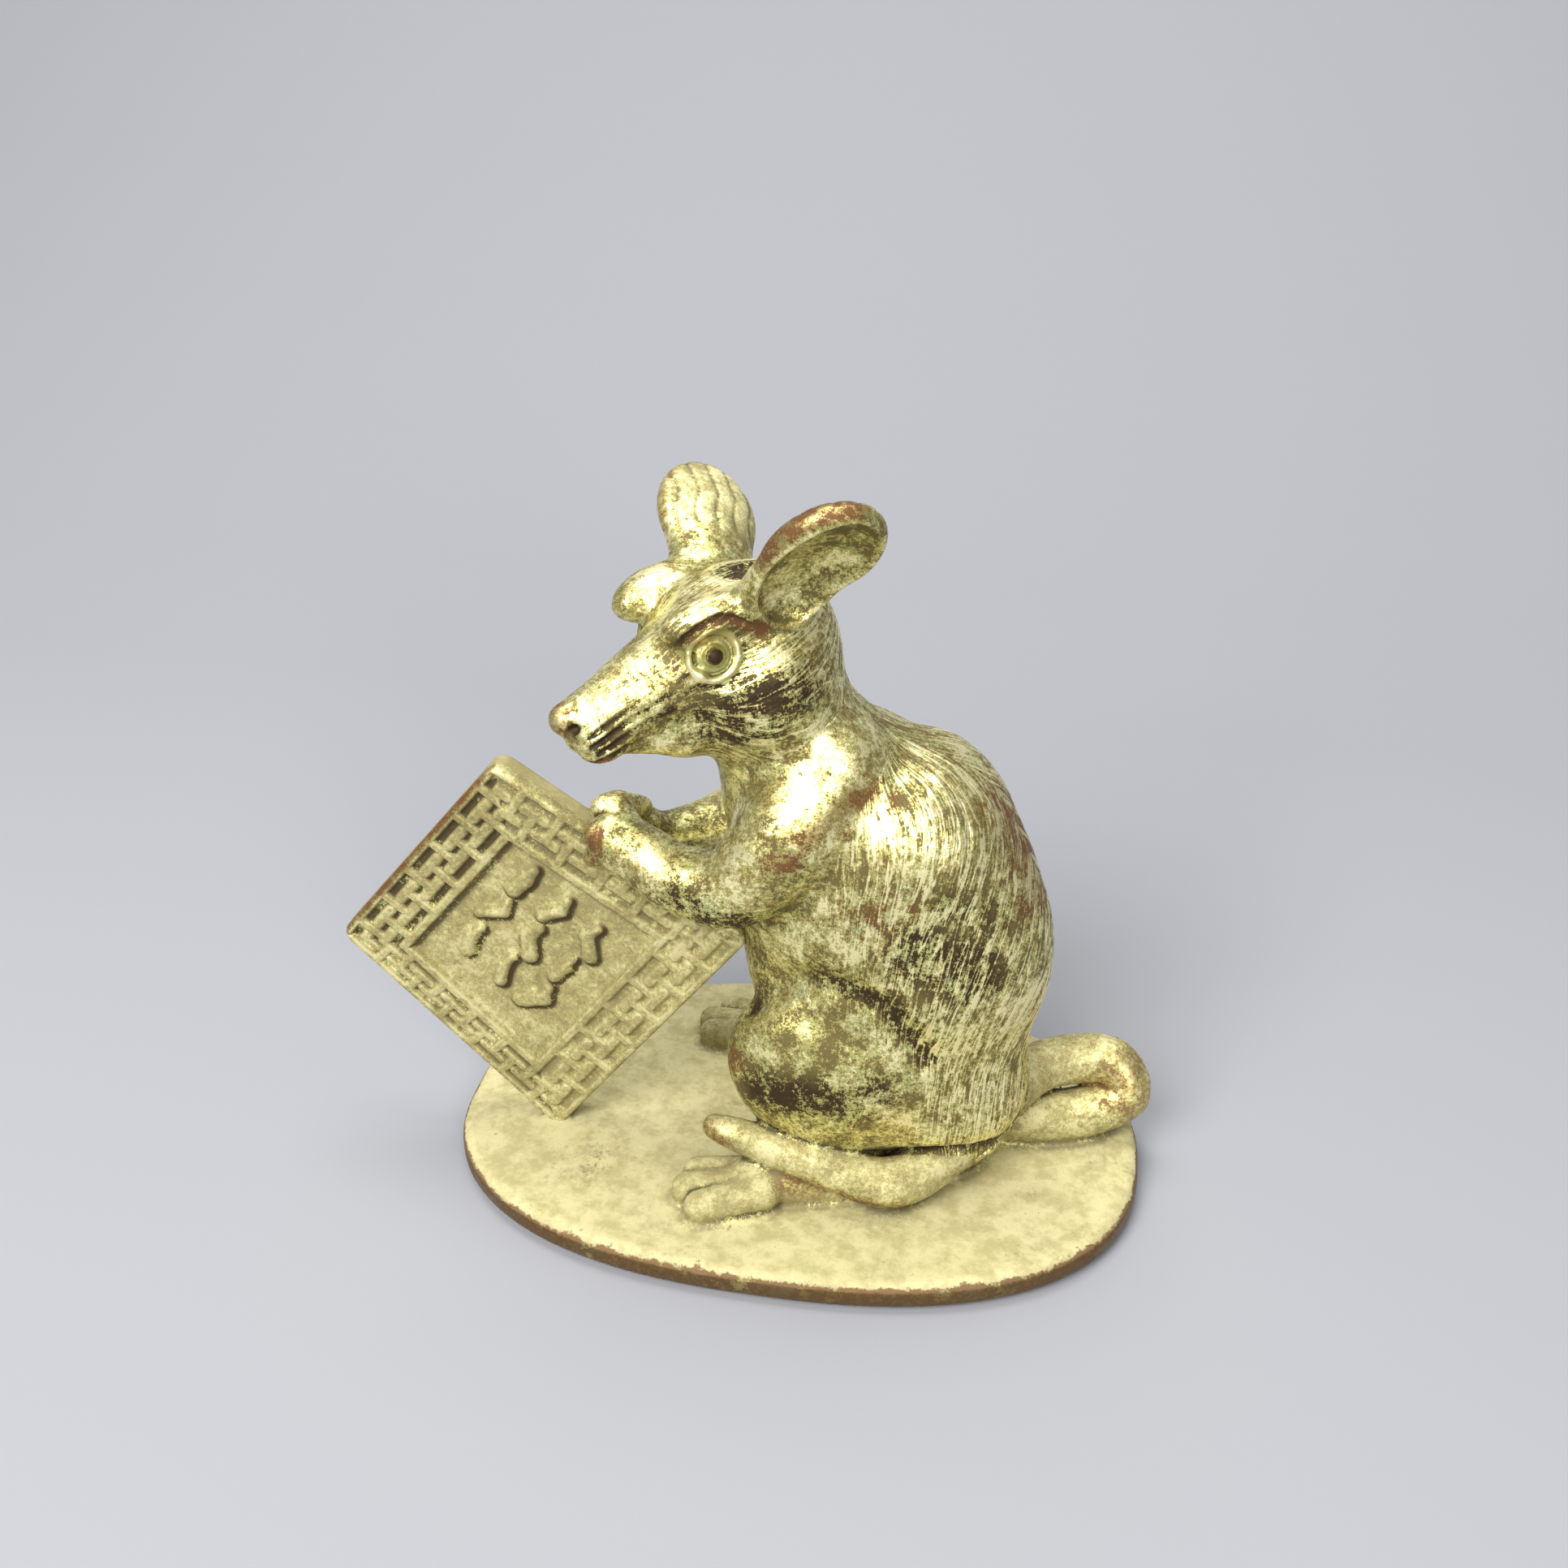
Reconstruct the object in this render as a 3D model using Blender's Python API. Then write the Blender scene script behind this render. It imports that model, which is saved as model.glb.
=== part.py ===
# Bronze rat figurine: a seated rat holding an upright square tablet, cast in one
# with its oval base. Metres, +Z up, the rat faces -X. Origin: middle of the underside.
import bpy
import bmesh
import numpy as np
from itertools import permutations

NODE = "bronze_rat_figurine"

# Driving dimensions of the base
BASE_LENGTH = 0.080
BASE_WIDTH = 0.0534
BASE_THICKNESS = 0.0035
BASE_SQUARENESS = 2.38
RIM_RADIUS = 0.0014

# Driving dimensions of the tablet
TABLET_THICKNESS = 0.0039
TABLET_CORNER_RADIUS = 0.0010
RIM_LINE_WIDTH = 0.0007
BORDER_WIDTH = 0.0052
FRAME_LINE_WIDTH = 0.0008
GROOVE_DEPTH = 0.0005

# Driving dimensions of the rat
RAT_HEIGHT = 0.0775
BODY_DEPTH = 0.0338
BODY_WIDTH = 0.0236
SHOULDER_WIDTH = 0.0224
NECK_RADIUS = 0.0065
THIGH_LENGTH = 0.0236
THIGH_HEIGHT = 0.0220
SKULL_WIDTH = 0.0164
MUZZLE_LENGTH = 0.0210
MUZZLE_RADIUS = 0.0031
EAR_LENGTH = 0.0142
EAR_WIDTH = 0.0110
EAR_THICKNESS = 0.0026
EYE_RADIUS = 0.0023
FOREARM_RADIUS = 0.0036
FINGER_RADIUS = 0.0012
TOE_RADIUS = 0.0019
TAIL_RADIUS = 0.0029
HEAD_TURN = 41.0
HEAD_NOD = 21.0
HEAD_TILT = 10.0

# The rat is carved in units of its own, 77.5 to its height, measured from the
# base's top. Places below are in these units: x to the rear, y away, z up.
UNITS_HIGH = 77.5
UNIT = RAT_HEIGHT / UNITS_HIGH
GRID_STEP = 0.9
EDGE_MARGIN = 0.05
RAT_TRIANGLES = 8300
SUNK = 2.0
MIDDLE = -2.0
FAR = 60.0

TAIL_ROUTE = (
    (20.0, 1.0, 4.5, 1.45), (28.0, 1.9, 2.8, 1.10), (33.0, 3.2, 2.8, 1.03),
    (37.8, 4.6, 5.1, 1.03), (36.0, 6.0, 8.4, 1.00), (31.0, 5.6, 8.3, 1.00),
    (27.0, 3.0, 8.1, 1.00), (23.7, -2.0, 7.4, 1.00), (20.2, -6.8, 5.8, 1.00),
    (15.6, -11.8, 3.8, 0.98), (11.8, -13.9, 3.6, 0.95), (6.4, -13.8, 4.8, 0.88),
    (0.2, -13.4, 6.0, 0.76), (-5.0, -12.7, 6.9, 0.62), (-7.2, -12.2, 7.1, 0.48),
)
# The rump is hollowed along the stretch of tail that lies on it, by this much more
NEST_START, NEST_END = 5, 11
NEST_GAP = 0.3
# The crease over each thigh
HAUNCH_CREASE = (
    (-3.6, 7.9, 22.8, 0.8), (-0.2, 9.8, 26.6, 1.0), (4.5, 11.8, 28.2, 1.0),
    (8.9, 12.7, 27.8, 1.0), (12.6, 12.7, 25.2, 1.0), (16.0, 11.7, 20.0, 0.8),
)
CREASE_RADIUS = 1.6
NEAR_ARM_ROUTE = (
    (4.5, -6.8, 51.0, 1.50), (1.0, -10.6, 45.0, 1.50), (-4.4, -12.0, 38.7, 1.20),
    (-10.6, -11.0, 38.3, 1.00), (-14.2, -9.8, 39.5, 0.92), (-18.0, -8.4, 40.8, 0.86),
)
FAR_ARM_ROUTE = (
    (6.0, 4.0, 46.0, 1.67), (-2.0, 7.6, 39.5, 1.44), (-9.0, 6.6, 35.1, 1.17),
    (-15.5, 2.4, 34.7, 0.94), (-18.6, -0.4, 37.8, 0.80),
)
# The tablet's corners across and up, from the one that it stands on, and its front face
TABLET_STAND = (-27.9, -1.3)
TABLET_CORNERS = ((0.0, 0.0), (23.7, 29.6), (-4.1, 48.4), (-24.3, 24.7))
TABLET_FRONT = -6.2
# One finger is its knuckle and its tip
NEAR_FINGERS = (
    ((-18.4, -9.6, 42.6), (-20.6, -8.6, 43.2)),
    ((-18.2, -10.2, 40.8), (-21.0, -9.2, 41.0)),
    ((-17.8, -10.2, 38.8), (-21.2, -8.6, 38.2)),
)
FAR_FINGERS = (
    ((-18.6, -1.4, 40.4), (-20.6, -3.6, 41.6)),
    ((-19.6, -1.0, 38.6), (-22.6, -2.6, 39.4)),
)


def units(metres):
    return metres / UNIT


def length(v):
    return np.sqrt((v * v).sum(-1))


def unit_vector(v):
    v = np.asarray(v, float)
    return v / length(v)


# Distance to each form, less than zero inside it

def egg(p, centre, radii, axes=None):
    q = p - np.asarray(centre, float)
    if axes is not None:
        q = q @ axes.T
    r = np.asarray(radii, float)
    near = length(q / r)
    return near * (near - 1.0) / (length(q / r ** 2) + 1e-9)


def limb(p, start, end, start_radius, end_radius):
    a = np.asarray(start, float)
    along = np.asarray(end, float) - a
    q = p - a
    t = np.clip(q @ along / (along @ along), 0.0, 1.0)
    return length(q - t[:, None] * along) - (start_radius + t * (end_radius - start_radius))


def join(a, b, softness):
    h = np.clip(softness - np.abs(a - b), 0.0, None) / softness
    return np.minimum(a, b) - h * h * softness * 0.25


def cut(a, b, softness):
    return -join(-a, b, softness)


def smooth_route(points, steps=4):
    p = np.asarray(points, float)
    p = np.vstack([2 * p[0] - p[1], p, 2 * p[-1] - p[-2]])
    out = []
    for a, b, c, d in zip(p[:-3], p[1:-2], p[2:-1], p[3:]):
        for t in np.arange(steps) / steps:
            bend = 2 * b + (c - a) * t + (2 * a - 5 * b + 4 * c - d) * t ** 2
            out.append(0.5 * (bend + (3 * b - a - 3 * c + d) * t ** 3))
    out.append(p[-2])
    return np.array(out)


def tube(p, route, radius):
    s = smooth_route(route)
    d = np.full(len(p), FAR)
    for a, b in zip(s[:-1], s[1:]):
        d = np.minimum(d, limb(p, a[:3], b[:3], a[3] * radius, b[3] * radius))
    return d


def near_only(p, low, high, form):
    """The form where it can reach, and a large distance elsewhere."""
    d = np.full(len(p), FAR)
    inside = ((p > np.array(low)) & (p < np.array(high))).all(1)
    if inside.any():
        d[inside] = form(p[inside])
    return d


def body(p):
    depth = units(BODY_DEPTH) / 2
    d = egg(p, (11.3, MIDDLE, 27.5), (depth, units(BODY_WIDTH) / 2, 19.0))
    d = join(d, egg(p, (8.2, MIDDLE, 39.1), (0.9 * depth, units(SHOULDER_WIDTH) / 2, 12.2)), 5.0)
    d = join(d, egg(p, (14.5, MIDDLE, 9.0), (12.5, 10.8, 11.0)), 6.0)
    for side in (-1, 1):
        d = join(d, egg(p, (12.5, MIDDLE + 3.5 * side, 42.5), (9.0, 8.0, 8.5)), 3.0)
    neck = units(NECK_RADIUS)
    return join(d, limb(p, (0.6, MIDDLE - 0.5, 49.5), (-5.4, -3.8, 62.3), neck + 2.0, neck), 6.0)


def thigh(p, side):
    radii = np.array([units(THIGH_LENGTH) / 2, 6.2, units(THIGH_HEIGHT) / 2])
    d = egg(p, (5.6, MIDDLE + 7.2 * side, 15.3), radii)
    return join(d, egg(p, (6.6, MIDDLE + 6.6 * side, 3.4), radii * (0.78, 0.88, 0.55)), 3.0)


def foot(p, side, reach, out):
    """A long hind foot with three toes; reach and out shift its toes."""
    toe = units(TOE_RADIUS)
    y = MIDDLE + side * (12.6 + out)
    d = limb(p, (6.0, MIDDLE + 9.6 * side, 1.9), (-2.6 - reach, y, 2.1), 1.58 * toe, 1.47 * toe)
    for spread, tip in ((-1.0, -9.0), (0.0, -9.6), (1.0, -7.6)):
        fan = spread * 1.42 * toe
        root = (-1.0 - reach, y + 0.55 * side * fan, 2.1)
        end = (tip - reach, y + side * (1.6 + fan), 1.4)
        d = join(d, limb(p, root, end, 1.05 * toe, 0.9 * toe), 0.6)
    web = egg(p, (-4.6 - reach, y + 0.9 * side, -0.4), (4.4, 1.9 * toe, 1.3))
    return join(d, web, 0.6)


def arm(p, route, fingers):
    d = tube(p, route, units(FOREARM_RADIUS))
    for knuckle, tip in fingers:
        d = join(d, limb(p, knuckle, tip, units(FINGER_RADIUS) * 1.15, units(FINGER_RADIUS)), 0.5)
    return d


# The head has axes of its own: forward to the nose, to its near side, and up
HEAD_PLACE = np.array([-4.3, -3.0, 69.3])


def head_axes():
    turn, nod, tilt = np.radians([HEAD_TURN, HEAD_NOD, HEAD_TILT])
    forward = np.array([-np.cos(turn) * np.cos(nod), -np.sin(turn) * np.cos(nod), -np.sin(nod)])
    level = np.array([np.sin(turn), -np.cos(turn), 0.0])
    near = np.cos(tilt) * level + np.sin(tilt) * np.cross(forward, level)
    return np.array([forward, near, np.cross(forward, near)])


def ear(q, side):
    out = unit_vector((-0.50, 0.72 * side, 0.48))
    face = unit_vector((0.44, 0.69 * side, -0.57))
    across = np.cross(face, out)
    face = np.cross(out, across)
    axes = np.array([out, across, face])
    root = np.array([0.3, 8.9 * side, 0.3])
    half = np.array([units(EAR_LENGTH), units(EAR_WIDTH), 2 * units(EAR_THICKNESS)]) / 2
    middle = root + out * 0.79 * half[0]
    d = egg(q, middle, half, axes)
    d = join(d, egg(q, root - out, half * (0.7, 0.8, 1.0), axes), 2.0)
    hollow = egg(q, middle + face * 0.77 * half[2] - out * 0.6, half * (0.93, 0.85, 1.0), axes)
    return cut(d, hollow, 0.8)


def head(p):
    q = (p - HEAD_PLACE) @ head_axes().T
    muzzle = units(MUZZLE_RADIUS)
    nose = units(MUZZLE_LENGTH)
    eye = units(EYE_RADIUS)
    d = egg(q, (3.0, 0, -6.6), (8.6, units(SKULL_WIDTH) / 2, 7.9))
    d = join(d, limb(q, (8, 0, -4.6), (nose, 0, -4.0), 1.94 * muzzle, muzzle), 4.0)
    jaw = limb(q, (nose - 2.0, 0, -7.0), (13.0, 0, -9.3), 0.65 * muzzle, 1.13 * muzzle)
    jaw = join(jaw, limb(q, (13.0, 0, -9.3), (6.0, 0, -10.7), 1.13 * muzzle, 1.55 * muzzle), 1.0)
    d = join(d, jaw, 1.2)
    d = join(d, egg(q, (nose + 2.2, 0, -2.6), (1.6, 1.7, 1.6)), 0.8)
    for side in (1, -1):
        d = join(d, egg(q, (5.0, 5.0 * side, -9.3), (6.0, 4.2, 5.2)), 2.5)
        d = join(d, egg(q, (nose, 1.7 * side, -5.6), (3.0, 1.9, 2.4)), 1.0)
        ridge = unit_vector((1.0, -0.22 * side, 0.2))
        out = unit_vector(np.array([0.22, side, 0.0]) - ridge * (0.22 * ridge[0] + side * ridge[1]))
        axes = np.array([ridge, out, np.cross(ridge, out)])
        swell = 0.7 if side < 0 else 0.0
        brow = (7.6, (5.7 + swell) * side, 0.5 + swell)
        d = join(d, egg(q, brow, (5.0 + 0.5 * swell, 2.7 + 0.4 * swell, 2.3 + 0.5 * swell), axes), 2.0)
        d = cut(d, egg(q, (9.0, 7.9 * side, -2.6), (3.4, 2.0, 2.6)), 1.2)
        d = join(d, egg(q, (8.6, 5.2 * side, -2.7), (eye, 0.87 * eye, eye)), 0.4)
    for side in (1, -1):
        d = join(d, ear(q, side), 1.6)
    return d


def rat(p):
    """Distance to the whole rat, in carving units above the base's top."""
    d = near_only(p, (-14, -22, -9), (36, 18, 70), body)
    for side, reach, out in ((-1, 0.0, 0.0), (1, 4.0, 2.6)):
        d = join(d, near_only(p, (-12, -22, -2), (24, 18, 33), lambda q: thigh(q, side)), 2.2)
        crease = [(x, MIDDLE + y * side, z, r) for x, y, z, r in HAUNCH_CREASE]
        d = cut(d, near_only(p, (-8, -20, 14), (20, 16, 33), lambda q: tube(q, crease, CREASE_RADIUS)), 2.0)
        leg = near_only(p, (-20, -26, -6), (16, 26, 14), lambda q: foot(q, side, reach, out))
        d = join(d, leg, 1.2)
    for route, fingers in ((NEAR_ARM_ROUTE, NEAR_FINGERS), (FAR_ARM_ROUTE, FAR_FINGERS)):
        limbs = near_only(p, (-28, -24, 28), (20, 16, 60), lambda q: arm(q, route, fingers))
        d = join(d, limbs, 2.5)
    d = join(d, near_only(p, (-34, -30, 45), (18, 24, 84), head), 4.0)
    tail = units(TAIL_RADIUS)
    nest = TAIL_ROUTE[NEST_START:NEST_END]
    d = cut(d, near_only(p, (6, -20, -4), (40, 14, 18), lambda q: tube(q, nest, tail) - NEST_GAP), 2.5)
    d = join(d, egg(p, (12.5, MIDDLE + 1.0, 2.0), (9.5, 8.0, 7.0)), 2.0)
    return join(d, near_only(p, (-14, -24, -6), (46, 14, 20), lambda q: tube(q, TAIL_ROUTE, tail)), 1.0)


# Closed skin of a distance field, sampled on a grid

def sample(field, low, high, block=8):
    cells = (np.ceil((high - low) / (GRID_STEP * block)) * block).astype(int)
    centres = [low[k] + GRID_STEP * block * (np.arange(cells[k] // block) + 0.5) for k in range(3)]
    coarse = field(np.stack(np.meshgrid(*centres, indexing="ij"), -1).reshape(-1, 3))
    coarse = coarse.reshape([len(c) for c in centres])
    values = np.sign(coarse) * FAR
    for axis in range(3):
        values = np.repeat(values, block, axis)
    values = np.pad(values, ((0, 1),) * 3, mode="edge")
    offsets = np.indices((block + 1,) * 3).reshape(3, -1).T
    reach = 0.9 * GRID_STEP * block * np.sqrt(3)
    for start in np.argwhere(np.abs(coarse) < reach):
        cell = start * block + offsets
        values[tuple(cell.T)] = field(low + GRID_STEP * cell)
    return values


def skin(values, low):
    """Each grid cube is six tetrahedra, and each one that is crossed gets one face."""
    inside = (values < 0).ravel()
    shape = np.array(values.shape)
    strides = np.array([shape[1] * shape[2], shape[2], 1])
    every = np.indices(shape - 1).reshape(3, -1).T @ strides
    around = [inside[every + corner @ strides] for corner in np.indices((2, 2, 2)).reshape(3, -1).T]
    cubes = every[np.any(around, 0) & ~np.all(around, 0)]
    step = np.eye(3, dtype=int)
    ends, faces = [], []
    for order in permutations(range(3)):
        corners = np.vstack([np.zeros((1, 3), int), np.cumsum(step[list(order)], 0)])
        points = cubes[:, None] + corners @ strides
        code = inside[points] @ np.array([1, 2, 4, 8])
        for case in range(1, 15):
            held = [k for k in range(4) if case >> k & 1]
            free = [k for k in range(4) if k not in held]
            edges = [(h, f) for h in held for f in free]
            if len(edges) == 4:
                edges = [edges[0], edges[1], edges[3], edges[2]]
            middles = np.array([corners[h] + corners[f] for h, f in edges])
            facing = np.cross(middles[1] - middles[0], middles[2] - middles[0])
            if facing @ (corners[free].mean(0) - corners[held].mean(0)) < 0:
                edges.reverse()
            found = points[code == case]
            crossed = found[:, np.array(edges)]
            ends.append(np.sort(crossed.reshape(-1, 2), 1))
            faces.append(np.full(len(found), len(edges)))
    sides = np.concatenate(faces)
    edges, corner = np.unique(np.vstack(ends), axis=0, return_inverse=True)
    a, b = values.ravel()[edges.T]
    t = np.clip(a / (a - b), EDGE_MARGIN, 1 - EDGE_MARGIN)[:, None]
    start, end = (np.stack(np.unravel_index(e, shape), 1) for e in edges.T)
    verts = low + GRID_STEP * (start + t * (end - start))
    return verts, np.split(corner.ravel(), np.cumsum(sides)[:-1])


def new_object(name, verts, faces):
    mesh = bpy.data.meshes.new(name)
    mesh.from_pydata([tuple(map(float, v)) for v in verts], [], [tuple(map(int, f)) for f in faces])
    mesh.validate()
    thing = bpy.data.objects.new(name, mesh)
    bpy.context.collection.objects.link(thing)
    return thing


def apply_all(thing):
    shaped = thing.evaluated_get(bpy.context.evaluated_depsgraph_get())
    mesh = bpy.data.meshes.new_from_object(shaped)
    thing.modifiers.clear()
    thing.data = mesh
    return thing


def carve_rat():
    low = np.array([-30.0, -24.0, -SUNK - 4.0])
    high = np.array([44.0, 24.0, UNITS_HIGH + 8.0])

    def sunk_rat(p):
        return np.maximum(rat(p), -SUNK - p[:, 2])

    verts, faces = skin(sample(sunk_rat, low, high), low)
    verts = verts * UNIT + (0, 0, BASE_THICKNESS)
    thing = new_object("rat", verts, faces)
    thin = thing.modifiers.new("thin", "DECIMATE")
    thin.ratio = RAT_TRIANGLES / sum(len(f) - 2 for f in faces)
    thin.use_collapse_triangulate = True
    return apply_all(thing)


# The base: an oval between a circle and a rectangle, its rim rounded

def oval(angle, inset):
    power = 2.0 / BASE_SQUARENESS
    c, s = np.cos(angle), np.sin(angle)
    x = np.sign(c) * np.abs(c) ** power * (BASE_LENGTH / 2 - inset)
    y = np.sign(s) * np.abs(s) ** power * (BASE_WIDTH / 2 - inset)
    return x, y


def make_base(around=72, rounding=3):
    angles = np.linspace(0, 2 * np.pi, around, endpoint=False)
    turns = np.linspace(0, np.pi / 2, rounding + 1)
    lower = [(RIM_RADIUS * (1 - np.sin(t)), RIM_RADIUS * (1 - np.cos(t))) for t in turns]
    rings = lower + [(inset, BASE_THICKNESS - z) for inset, z in reversed(lower)]
    verts = []
    for inset, z in rings:
        for a in angles:
            verts.append((*oval(a, inset), z))
    faces = []
    for r in range(len(rings) - 1):
        for k in range(around):
            n = (k + 1) % around
            faces.append((r * around + k, r * around + n, (r + 1) * around + n, (r + 1) * around + k))
    faces.append(tuple(range(around))[::-1])
    faces.append(tuple(range(len(verts) - around, len(verts))))
    return new_object("base", verts, faces)


# The tablet stands on one corner, and its front has a sunk border and panel

def tablet_outline(inset):
    """Corners of the tablet seen from the front, rounded, moved in by inset."""
    corners = [(np.array(TABLET_STAND) + np.array(c)) * UNIT for c in TABLET_CORNERS]
    moved = []
    for k in range(4):
        here = corners[k]
        before = unit_vector(here - corners[k - 1])
        after = unit_vector(corners[(k + 1) % 4] - here)
        sine = before[0] * after[1] - before[1] * after[0]
        moved.append((here + (after - before) * inset / sine, before, after))
    radius = max(TABLET_CORNER_RADIUS - 0.3 * inset, 0.2 * TABLET_CORNER_RADIUS)
    outline = []
    for corner, before, after in moved:
        for t in (0.0, 0.5, 1.0):
            outline.append(corner - before * radius * (1 - t) ** 2 + after * radius * t ** 2)
    return outline


def make_tablet():
    border_end = RIM_LINE_WIDTH + BORDER_WIDTH
    panel = border_end + FRAME_LINE_WIDTH
    slope = GROOVE_DEPTH / 2
    profile = [(0.0, TABLET_THICKNESS), (0.0, 0.0), (RIM_LINE_WIDTH, 0.0), (RIM_LINE_WIDTH + slope, GROOVE_DEPTH),
               (border_end - slope, GROOVE_DEPTH), (border_end, 0.0), (panel, 0.0), (panel + slope, GROOVE_DEPTH)]
    verts = []
    for inset, depth in profile:
        for x, z in tablet_outline(inset):
            verts.append((x, TABLET_FRONT * UNIT + depth, z + BASE_THICKNESS))
    n = len(verts) // len(profile)
    faces = [tuple(range(n))[::-1], tuple(range(len(verts) - n, len(verts)))]
    for r in range(len(profile) - 1):
        for k in range(n):
            m = (k + 1) % n
            faces.append((r * n + k, r * n + m, (r + 1) * n + m, (r + 1) * n + k))
    return new_object("tablet", verts, faces)


def fuse(main, others):
    for other in others:
        union = main.modifiers.new("fuse", "BOOLEAN")
        union.operation = "UNION"
        union.solver = "EXACT"
        union.object = other
    apply_all(main)
    for other in others:
        bpy.data.objects.remove(other)
    return main


def tidy(thing):
    mesh = thing.data
    work = bmesh.new()
    work.from_mesh(mesh)
    bmesh.ops.remove_doubles(work, verts=work.verts, dist=0.00002)
    bmesh.ops.triangulate(work, faces=work.faces)
    bmesh.ops.recalc_face_normals(work, faces=work.faces)
    work.to_mesh(mesh)
    work.free()


def bronze():
    material = bpy.data.materials.new("patinated_bronze")
    material.use_nodes = True
    shader = material.node_tree.nodes["Principled BSDF"]
    shader.inputs["Base Color"].default_value = (0.30, 0.25, 0.09, 1.0)
    shader.inputs["Metallic"].default_value = 0.8
    shader.inputs["Roughness"].default_value = 0.45
    return material


def main():
    for thing in list(bpy.data.objects):
        bpy.data.objects.remove(thing)
    figure = fuse(carve_rat(), [make_base(), make_tablet()])
    tidy(figure)
    figure.name = NODE
    figure.data.name = NODE
    figure.data.materials.clear()
    figure.data.materials.append(bronze())


main()
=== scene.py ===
# Looks of the bronze rat figurine: one casting of a seated rat, its tablet and its oval base.
# The forms are carved in millimetres above the base's top, then fitted to the frame.
import bpy
import numpy as np
from mathutils import Matrix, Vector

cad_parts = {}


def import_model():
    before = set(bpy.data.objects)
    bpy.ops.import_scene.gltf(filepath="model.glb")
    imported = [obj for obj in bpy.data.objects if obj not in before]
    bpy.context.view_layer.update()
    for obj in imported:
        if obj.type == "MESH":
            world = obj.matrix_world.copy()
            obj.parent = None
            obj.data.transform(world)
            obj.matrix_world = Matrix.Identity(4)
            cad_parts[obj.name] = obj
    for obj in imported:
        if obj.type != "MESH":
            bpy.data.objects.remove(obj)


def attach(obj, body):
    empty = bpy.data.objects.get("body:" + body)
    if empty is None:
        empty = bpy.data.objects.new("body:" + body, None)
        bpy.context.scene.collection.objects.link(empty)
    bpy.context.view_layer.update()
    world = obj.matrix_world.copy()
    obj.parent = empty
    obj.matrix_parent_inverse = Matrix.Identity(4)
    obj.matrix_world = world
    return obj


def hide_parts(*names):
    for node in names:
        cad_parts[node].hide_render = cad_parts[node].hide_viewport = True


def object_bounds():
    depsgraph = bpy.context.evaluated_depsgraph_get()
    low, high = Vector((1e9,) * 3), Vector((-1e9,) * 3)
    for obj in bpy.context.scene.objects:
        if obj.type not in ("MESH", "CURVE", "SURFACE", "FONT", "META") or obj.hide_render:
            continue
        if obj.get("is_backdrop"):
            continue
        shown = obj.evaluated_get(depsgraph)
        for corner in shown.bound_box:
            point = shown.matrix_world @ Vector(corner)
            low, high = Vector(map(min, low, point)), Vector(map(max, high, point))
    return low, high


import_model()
NODE = "bronze_rat_figurine"
frame_low, frame_high = (np.array(corner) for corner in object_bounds())

# The frame's length holds this many millimetres as carved; the base's thickness is under it all
CARVED_LENGTH = 92.70
MM = (frame_high[0] - frame_low[0]) / CARVED_LENGTH
BASE_THICKNESS = 3.5
BASE_LENGTH = 80.0
BASE_WIDTH = 53.4
BASE_SQUARENESS = 2.38
RIM_RADIUS = 1.4

MIDDLE = -2.0
FAR = 60.0
# The rat goes this far into the base
SUNK = 2.0
TAIL_RADIUS = 2.9
ARM_RADIUS = 3.6
TOE_RADIUS = 1.9
# Each foot: its side, how far its toes are moved on and how far out
FEET = ((-1, 0.0, 0.0), (1, 4.0, 2.6))
# The grid steps of the skins, and the most triangles that a piece keeps
HEAD_STEP = 0.23
BODY_STEP = 0.30
TABLET_STEP = 0.18
PIECE_TRIANGLES = 196000
TABLET_TRIANGLES = 180000
# The figure is meshed in three pieces that meet at these heights, each a little past the seam
NECK_SEAM = 52.5
FOOT_SEAM = 11.5
SEAM_LAP = 0.6

TAIL_ROUTE = (
    (20.0, 1.0, 4.5, 1.45), (28.0, 1.9, 2.8, 1.10), (33.0, 3.2, 2.8, 1.03),
    (37.8, 4.6, 5.1, 1.03), (36.0, 6.0, 8.4, 1.00), (31.0, 5.6, 8.3, 1.00),
    (27.0, 3.0, 8.1, 1.00), (23.7, -2.0, 7.4, 1.00), (20.2, -6.8, 5.8, 1.00),
    (15.6, -11.8, 3.8, 0.98), (11.8, -13.9, 3.6, 0.95), (6.4, -13.8, 4.8, 0.88),
    (0.2, -13.4, 6.0, 0.76), (-5.0, -12.7, 6.9, 0.62), (-7.2, -12.2, 7.1, 0.48),
)
# The rump is hollowed along the stretch of tail that lies on it, by this much more
NEST_START, NEST_END = 5, 11
NEST_GAP = 0.3
# The crease over each thigh
HAUNCH_CREASE = (
    (-3.6, 7.9, 22.8, 0.8), (-0.2, 9.8, 26.6, 1.0), (4.5, 11.8, 28.2, 1.0),
    (8.9, 12.7, 27.8, 1.0), (12.6, 12.7, 25.2, 1.0), (16.0, 11.7, 20.0, 0.8),
)
CREASE_RADIUS = 1.6
NEAR_ARM_ROUTE = (
    (4.5, -6.8, 51.0, 1.50), (1.0, -10.6, 45.0, 1.50), (-4.4, -12.0, 38.7, 1.20),
    (-10.6, -11.0, 38.3, 1.00), (-14.2, -9.8, 39.5, 0.92), (-18.0, -8.4, 40.8, 0.86),
)
FAR_ARM_ROUTE = (
    (6.0, 4.0, 46.0, 1.67), (-2.0, 7.6, 39.5, 1.44), (-9.0, 6.6, 35.1, 1.17),
    (-15.5, 2.4, 34.7, 0.94), (-18.6, -0.4, 37.8, 0.80),
)
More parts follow.
